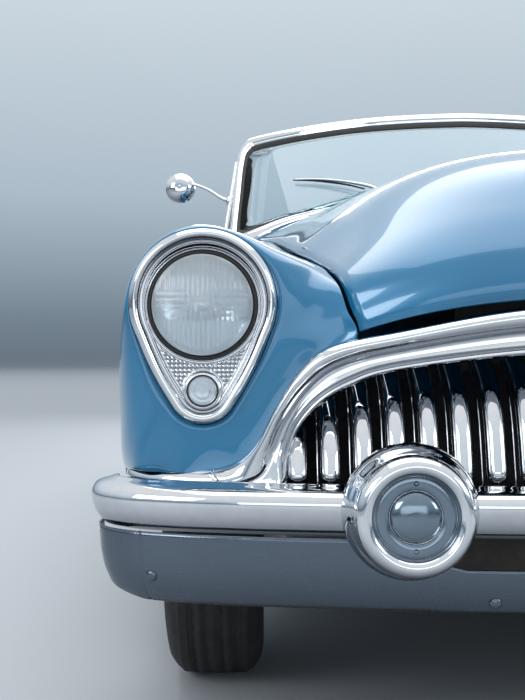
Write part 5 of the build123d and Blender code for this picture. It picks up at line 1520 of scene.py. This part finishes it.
def leather(name, colour, crease=0.35):
    """Dyed hide: pebbled cells, fine pores, and a slow change of tone where it has been handled."""
    material, tree, node = shader(name, Roughness=0.46, IOR=1.45)
    place = object_place(tree)
    tone = noise(tree, place, 5.0, 4.0)
    tree.links.new(
        ramp(tree, tone, (0.3, tuple(0.86 * c for c in colour)), (0.7, colour)), node.inputs["Base Color"],
    )
    cells = linked(tree, "ShaderNodeTexVoronoi", {"Vector": place, "Scale": 260.0})
    pores = noise(tree, place, 900.0, 2.0)
    height = linked(tree, "ShaderNodeMath", {0: cells.outputs["Distance"], 1: pores}, operation="ADD")
    bumped(tree, node, height.outputs["Value"], crease, 0.0008)
    return material


pale_leather = leather("pale_blue_leather", (0.56, 0.63, 0.66))
blue_leather = leather("blue_leather", (0.018, 0.085, 0.15))


def mesh_array(mesh, what="co"):
    """A mesh's points or normals as an array of rows."""
    values = np.empty(3 * len(mesh.vertices))
    mesh.vertices.foreach_get(what, values)
    return values.reshape(-1, 3)


def finished(made):
    """Puts an object's live modifiers into its mesh."""
    mesh = bpy.data.meshes.new_from_object(made.evaluated_get(bpy.context.evaluated_depsgraph_get()))
    made.modifiers.clear()
    made.data = mesh
    return mesh


def swollen(made, voxel, cap):
    """Stuffs a form: remeshed evenly, blown up as cloth by no more than a cap, and divided once more."""
    start = made.modifiers.new("voxels", "REMESH")
    start.mode, start.voxel_size, start.use_smooth_shade = "VOXEL", voxel, True
    mesh = finished(made)
    before = mesh_array(mesh)
    cloth = made.modifiers.new("cloth", "CLOTH")
    cloth.settings.use_pressure = True
    cloth.settings.uniform_pressure_force = 4.0
    cloth.settings.effector_weights.gravity = 0
    for frame_number in range(1, 21):
        bpy.context.scene.frame_set(frame_number)
    mesh = finished(made)
    bpy.context.scene.frame_set(1)
    move = mesh_array(mesh) - before
    length = np.linalg.norm(move, axis=1, keepdims=True)
    mesh.vertices.foreach_set(
        "co", (before + move * np.minimum(1, cap / np.maximum(length, 1e-9))).ravel(),
    )
    mesh.update()
    fine = made.modifiers.new("fine", "SUBSURF")
    fine.levels = fine.render_levels = 1
    return finished(made)


def block_form(name, half, corner, material, body):
    """A block with rounded corners: each coordinate a power of a cosine or sine over a sphere."""
    u = once_round(120)[None, :]
    v = np.linspace(-0.5 * pi + 0.02, 0.5 * pi - 0.02, 49)[:, None]
    ring, rise = np.cos(v) ** corner, np.sign(np.sin(v)) * np.abs(np.sin(v)) ** corner
    x, y = (np.sign(turn(u)) * np.abs(turn(u)) ** 0.22 for turn in (np.cos, np.sin))
    return solid(name, (half[0] * ring * x, half[1] * ring * y, half[2] * rise + 0 * u), material, body)


def set_down(points, place, tilt):
    """Points of a pad leant back by a tilt about the car's width, then moved to their place."""
    lean = np.array([(1, 0, 0), (0, cos(tilt), sin(tilt)), (0, -sin(tilt), cos(tilt))])
    return points @ lean + place


def pad(name, half, place, tilt, pleats, node_name, rest=None, copies=None):
    """A stuffed pad with sewn pleats, piped round, leant back and placed, once for each copy."""
    made = block_form(name, half, 0.3, pale_leather, "body")
    mesh = swollen(made, 0.0185, 0.013)
    points, normals = mesh_array(mesh), mesh_array(mesh, "normal")
    span = half[0] - 0.05
    within = smooth(span - np.abs(points[:, 0]), -0.002, 0.002) * smooth(
        half[1] - 0.052 - np.abs(points[:, 1]), -0.002, 0.004,
    )
    along = np.abs(((points[:, 0] / span + 1) * pleats / 2) % 1 * 2 - 1)
    border = np.maximum(np.abs(points[:, 0]) - span, np.abs(points[:, 1]) - half[1] + 0.052)
    seam = np.maximum(along**6 * within, np.exp(-((border / 0.006) ** 2)))
    points = points - normals * (0.01 * seam * smooth(normals[:, 2], 0.3, 0.7))[:, None]
    route = once_round(2000)
    edge = [
        (h - 0.001) * np.sign(f(route)) * np.abs(f(route)) ** 0.22
        for h, f in zip(half, (np.cos, np.sin))
    ]
    edge = paced(np.stack([*edge, 0 * route + 0.72 * half[2]], axis=-1), 280, closed=True)
    tree = BVHTree.FromPolygons(points.tolist(), [tuple(face.vertices) for face in mesh.polygons])
    edge = np.array([tree.find_nearest(Vector(point))[0] for point in edge])
    edge = sum(np.roll(edge, shift, axis=0) for shift in (2, 1, 0, -1, -2)) / 5
    course = loop_course(edge)
    angle = once_round(8)[None, :, None]
    upright = np.array((0, 0, 1.0))
    cord = edge[:, None] + 0.0048 * (
        np.cos(angle) * np.cross(course, upright)[:, None] + np.sin(angle) * upright
    )
    for label, at in (copies or {name: place}).items():
        target = made if label == name else bpy.data.objects.new(label, mesh.copy())
        if target is not made:
            bpy.context.collection.objects.link(target)
            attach(target, "body")
        target.name = target.data.name = label
        placed = set_down(points, at, tilt)
        if rest:
            placed[:, 2] = np.maximum(placed[:, 2], rest(placed[:, 1]))
        target.data.vertices.foreach_set("co", placed.ravel())
        target.data.update()
        target.data.shade_smooth()
        welt = hoop(f"{label}_welt", np.moveaxis(set_down(cord, at, tilt), -1, 0), blue_leather, "body")
        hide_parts(node_name)


def trim_block(name, low, high, slant, edge_radius, material, node_name=None):
    """A trimmed box with rounded edges, leant back by a slant for each unit up."""
    x, y, z = np.meshgrid(*zip(low, high), indexing="ij")
    points = np.stack([x, y + slant * (z - low[2]), z], axis=-1).reshape(-1, 3)
    made = piece(
        name, points, [(0, 1, 3, 2), (4, 6, 7, 5), (0, 4, 5, 1), (2, 3, 7, 6), (0, 2, 6, 4), (1, 5, 7, 3)],
        material, "body",
    )
    edge = made.modifiers.new("edge", "BEVEL")
    edge.width, edge.segments, edge.limit_method = edge_radius, 4, "NONE"
    if node_name:
        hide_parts(node_name)


SEAT_DECK = 0.567


def rear_deck(y):
    """The height that the rear cushion rests on: its frame in front, and the raised floor behind."""
    return 0.5 + (SEAT_DECK - 0.5) * smooth(y, 0.795, 0.828)


pad("front_cushion", (0.675, 0.243, 0.068), (0, 0.066, 0.506), -0.055, 18, "front_seat")
pad("front_back_left", (0.33, 0.23, 0.036), None, 1.352, 9, "front_seat",
    copies={"front_back_left": (0.347, 0.372, 0.778), "front_back_right": (-0.347, 0.372, 0.778)})
pad("rear_cushion", (0.558, 0.16, 0.046), (0, 0.818, 0.558), -0.02, 15, "rear_seat", rear_deck)
pad("rear_back", (0.558, 0.212, 0.038), (0, 1.044, 0.802), 1.36, 15, "rear_seat")
trim_block(
    "front_seat_base", (-0.655, -0.155, 0.352), (0.655, 0.32, 0.446), -0.1, 0.012, leathercloth, "front_seat",
)
trim_block(
    "rear_seat_base", (-0.568, 0.668, 0.347), (0.568, 0.812, 0.508), -0.05, 0.014, leathercloth, "rear_seat",
)
trim_block(
    "rear_seat_shell", (-0.568, 1.07, 0.572), (0.568, 1.146, 0.968), 0.0, 0.016, leathercloth, "rear_seat",
)
for side, sign in SIDES:
    near, far = sorted((sign * 0.022, sign * 0.672))
    trim_block(
        f"front_back_shell_{side}", (near, 0.37, 0.555), (far, 0.396, 0.985), 0.17, 0.011, blue_leather,
        "front_seat",
    )

# ------------------------------------------------------------------ folded hood
# The hood lies folded in its well under a padded cover of the same mohair canvas, held by a row of press
# studs.


def canvas(name, colour):
    """Mohair canvas: crossing yarns, a soft fuzz, and faint stains."""
    material, tree, node = shader(name, Roughness=0.88, Sheen_Weight=0.4)
    place = object_place(tree)
    stain = noise(tree, place, 7.0, 6.0)
    tree.links.new(
        ramp(tree, stain, (0.3, tuple(0.8 * c for c in colour)), (0.7, colour)), node.inputs["Base Color"],
    )
    yarn = {"Vector": place, "Scale": 150.0, "Distortion": 0.6}
    waves = [
        linked(tree, "ShaderNodeTexWave", yarn, bands_direction=way).outputs["Fac"]
        for way in ("X", "Y")
    ]
    weave = linked(tree, "ShaderNodeMath", {0: waves[0], 1: waves[1]}, operation="ADD")
    bumped(tree, node, weave.outputs["Value"], 0.35, 0.0008)
    return material


hood_canvas = canvas("ivory_canvas", (0.6, 0.58, 0.51))
hood = block_form("folded_hood_cover", (0.56, 0.162, 0.082), 0.42, hood_canvas, "body")
mesh = swollen(hood, 0.0175, 0.016)
points, normals = mesh_array(mesh), mesh_array(mesh, "normal")
x, y = points[:, 0], points[:, 1]
slack = 0.006 * np.sin(31 * x + 2.2 * np.sin(17 * y)) * np.sin(24 * y + 1.3 * np.sin(9 * x))
slack += 0.003 * np.sin(74 * x + 40 * y) * smooth(np.abs(x), 0.25, 0.5)
ribs = np.exp(-(((np.abs(x) - 0.2) / 0.01) ** 2)) + np.exp(-(((np.abs(x) - 0.5) / 0.01) ** 2))
points = set_down(points - normals * (np.abs(slack) + 0.006 * ribs)[:, None], (0, 1.362, 0.97), -0.03)
mesh.vertices.foreach_set("co", points.ravel())
mesh.update()
mesh.shade_smooth()
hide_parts("folded_hood")
tree = BVHTree.FromPolygons(points.tolist(), [tuple(face.vertices) for face in mesh.polygons])
stud = rounded([(0.0012, 0.004), (0.0045, 0.0034), (0.0068, 0.0014), (0.0074, -0.003)])
studs = []
for across_x in np.linspace(-0.5, 0.5, 9):
    spot, out, _, _ = tree.ray_cast(Vector((across_x, 1.0, 0.985)), Vector((0, 1, 0)))
    studs.append(turned(stud, spot, 24, out))
studs = solid("hood_studs", gathered(studs), side_trim, "body")

# ------------------------------------------------------------------ cabin side trims
# Hardboard panels covered in leathercloth, from the floor up to the gutter behind each door. Beside the
# rear seat they step in over the wheelhouse and make an armrest.
down = through(np.arange(9), np.array([
    (0.782, 0.985), (0.782, 0.9), (0.78, 0.83), (0.765, 0.805), (0.7, 0.8), (0.62, 0.797), (0.596, 0.78),
    (0.59, 0.74), (0.59, 0.372),
]), np.linspace(0, 8, 40))
flat = np.stack([0 * down[:, 0] + 0.782, np.linspace(0.985, 0.372, 40)], axis=-1)
trim_y = np.r_[
    np.linspace(0.392, 0.655, 10), np.linspace(0.665, 0.72, 12), np.linspace(0.735, 1.142, 16),
][:, None]
share = smooth(trim_y, 0.66, 0.722)
for side, sign in SIDES:
    trim_x, trim_z = (flat[None, :, axis] * (1 - share) + down[None, :, axis] * share for axis in (0, 1))
    made = walled(
        surface(
            f"quarter_trim_{side}", sign * trim_x, trim_y + 0 * trim_x, trim_z, leathercloth, "body",
            facing=(-sign, 0, 0),
        ),
        0.006,
    )

# ------------------------------------------------------------------ floor, wheelhouses and running gear
# Pressed floor with looped carpet inside and black underseal below. Under it hang the box frame, the
# axles, the propeller shaft and the exhaust, in chassis black, bare iron and rusty steel.


def two_faced(name, upper, lower, pile=0.6):
    """Looped carpet on what faces up inside the cabin, and a sprayed underseal elsewhere."""
    material, tree, node = shader(name, Roughness=0.9)
    place = object_place(tree)
    facing = linked(
        tree, "ShaderNodeSeparateXYZ", {"Vector": linked(tree, "ShaderNodeNewGeometry").outputs["Normal"]},
    ).outputs["Z"]
    up = ramp(tree, facing, (0.3, 0.0), (0.4, 1.0))
    loops = linked(tree, "ShaderNodeTexVoronoi", {"Vector": place, "Scale": 320.0})
    stain = noise(tree, place, 6.0, 5.0)
    carpet = ramp(tree, stain, (0.3, tuple(0.75 * c for c in upper)), (0.7, upper))
    coat = ramp(tree, stain, (0.35, lower), (0.75, tuple(2.2 * c for c in lower)))
    colour = two_tones(tree, up, coat, carpet)
    tree.links.new(colour, node.inputs["Base Color"])
    bumped(tree, node, loops.outputs["Distance"], pile, 0.0015)
    return material


def metal(name, colour, spot, roughness=0.6, metallic=0.7, scale=22.0, rough_bump=0.35):
    """Bare or rusty metal: a cast or scaled skin, with spots of another tone where it has weathered."""
    material, tree, node = shader(name, Roughness=roughness, Metallic=metallic)
    place = object_place(tree)
    cloud = noise(tree, place, scale, 7.0, 0.7)
    tree.links.new(ramp(tree, cloud, (0.42, colour), (0.66, spot)), node.inputs["Base Color"])
    skin = noise(tree, place, 260.0, 3.0)
    bumped(tree, node, skin, rough_bump, 0.001)
    return material


carpet = two_faced("blue_carpet", (0.016, 0.06, 0.095), (0.01, 0.01, 0.011))
underseal = plastic("underseal", (0.01, 0.01, 0.011), 0.85, 90.0, 0.6)
chassis_black = metal("chassis_black", (0.012, 0.012, 0.013), (0.045, 0.03, 0.02), 0.5, 0.1)
cast_iron = metal("painted_iron", (0.03, 0.075, 0.085), (0.055, 0.06, 0.055), 0.55, 0.2, 14.0, 0.5)
bright_steel = metal("bare_steel", (0.33, 0.33, 0.34), (0.16, 0.12, 0.09), 0.4, 0.9)
rusty_pipe = metal("rusty_pipe", (0.2, 0.14, 0.1), (0.1, 0.045, 0.022), 0.75, 0.6, 30.0, 0.6)
core = plastic("radiator_core", (0.008, 0.008, 0.008), 0.6, 500.0, 0.9)
finishes = {
    "floor_pan": carpet, "rear_wheelhouses": underseal, "hood_well": underseal,
    "chassis_frame": chassis_black,
    "cross_members": chassis_black, "engine_block": cast_iron, "radiator": core,
    "propeller_shaft": bright_steel,
    "exhaust_pipe": rusty_pipe, "front_suspension": chassis_black, "rear_axle": chassis_black,
}
for name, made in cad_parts.items():
    finish = finishes.get(name) or (bright_steel if "knuckle" in name or "tie" in name else None)
    if finish:
        for slot_index in range(len(made.data.materials)):
            made.data.materials[slot_index] = finish

# ------------------------------------------------------------------ boot side shelves
# Pressed ledges that close the boot floor out to the rear quarters behind the wheelhouses, undersealed
# and welded.
shelf_y = np.linspace(1.715, 2.452, 24)[:, None]
shelf_edge = through(side_rows[:, 0], side_rows[:, 7:9], shelf_y[:, 0])[:, :1] - 0.012
across = np.linspace(0, 1, 12)[None, :]
shelf_x = 0.584 + (shelf_edge - 0.584) * across
ribbing = 0.004 * np.abs(np.sin(pi * shelf_y / 0.11)) * smooth(across, 0.2, 0.4)
shelf_z = 0.56 + 0.012 * smooth(across, 0.0, 0.15) + ribbing
for side, sign in SIDES:
    made = walled(
        surface(
            f"boot_shelf_{side}", sign * shelf_x, shelf_y + 0 * shelf_x, shelf_z, carpet, "body",
            facing=(0, 0, 1),
        ),
        0.003,
    )

# ------------------------------------------------------------------ front wheel liners
# Pressed arches that close the front wings over the wheels, undersealed, welded to the inner wing all
# round.
LINER_RADIUS = 0.448
LINER_IN, LINER_OUT = 0.452, 0.905
sweep = np.linspace(0.04 * pi, 0.96 * pi, 30)[:, None]
step = np.linspace(0, 1, 14)[None, :]
wall_r = np.interp(step, (0, 0.3, 0.4, 1), (0.12, LINER_RADIUS - 0.02, LINER_RADIUS, LINER_RADIUS))
wall_x = np.interp(step, (0, 0.3, 0.4, 1), (LINER_IN, LINER_IN, LINER_IN + 0.03, LINER_OUT))
for side, sign in SIDES:
    liner = surface(
        f"wheel_liner_{side}", sign * wall_x + 0 * sweep, AXLE_Y - wall_r * np.cos(sweep),
        AXLE_Z + wall_r * np.sin(sweep), underseal, "body",
        facing=(-sign, 0, 1),
    )
    walled(liner, 0.003)

# ------------------------------------------------------------------ engine dressing
# Two painted rocker covers along the top of the engine block, with a round oil bath air cleaner between
# them.
low, high = (np.array(corner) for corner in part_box("engine_block"))
top_z, mid_y = high[2], (low[1] + high[1]) / 2
cleaner = rounded([
    (0.0015, 0.062), (0.03, 0.061), (0.09, 0.052), (0.098, 0.04), (0.098, 0.006), (0.088, -0.004),
    (0.0015, -0.006),
])
t = np.linspace(0, 1, 30)[:, None]
angle = once_round(28)[None, :]
cover_end = np.clip(1 - np.abs(2 * t - 1) ** 14, 0.02, 1) ** 0.5
for side, sign in SIDES:
    cover_x = sign * 0.105 + 0.045 * np.sign(np.cos(angle)) * np.abs(np.cos(angle)) ** 0.6 * cover_end
    cover_z = top_z - 0.03 + 0.038 * np.sign(np.sin(angle)) * np.abs(np.sin(angle)) ** 0.6 * cover_end
    rocker = solid(
        f"rocker_cover_{side}", (cover_x, low[1] + 0.06 + (high[1] - low[1] - 0.12) * t, cover_z), cast_iron,
        "body",
    )
air_cleaner = solid(
    "air_cleaner", turned(cleaner, (0, mid_y - 0.1, top_z + 0.004), 48, (0, 0, 1)), chassis_black, "body",
)

# ------------------------------------------------------------------ exhaust tip
# A chromed trim slipped over the end of the tail pipe: a hollow tube, a little wider towards its rolled
# lip.
tip = rounded([
    (0.0245, -0.1), (0.0275, -0.098), (0.0285, -0.06), (0.03, -0.012), (0.0315, -0.003), (0.03, 0.001),
    (0.0275, -0.004), (0.0262, -0.03), (0.0255, -0.08),
])
tip = hoop("exhaust_tip", turned(tip, (-0.25, 2.603, 0.18), 48, (0, 1, 0)), side_trim, "body")
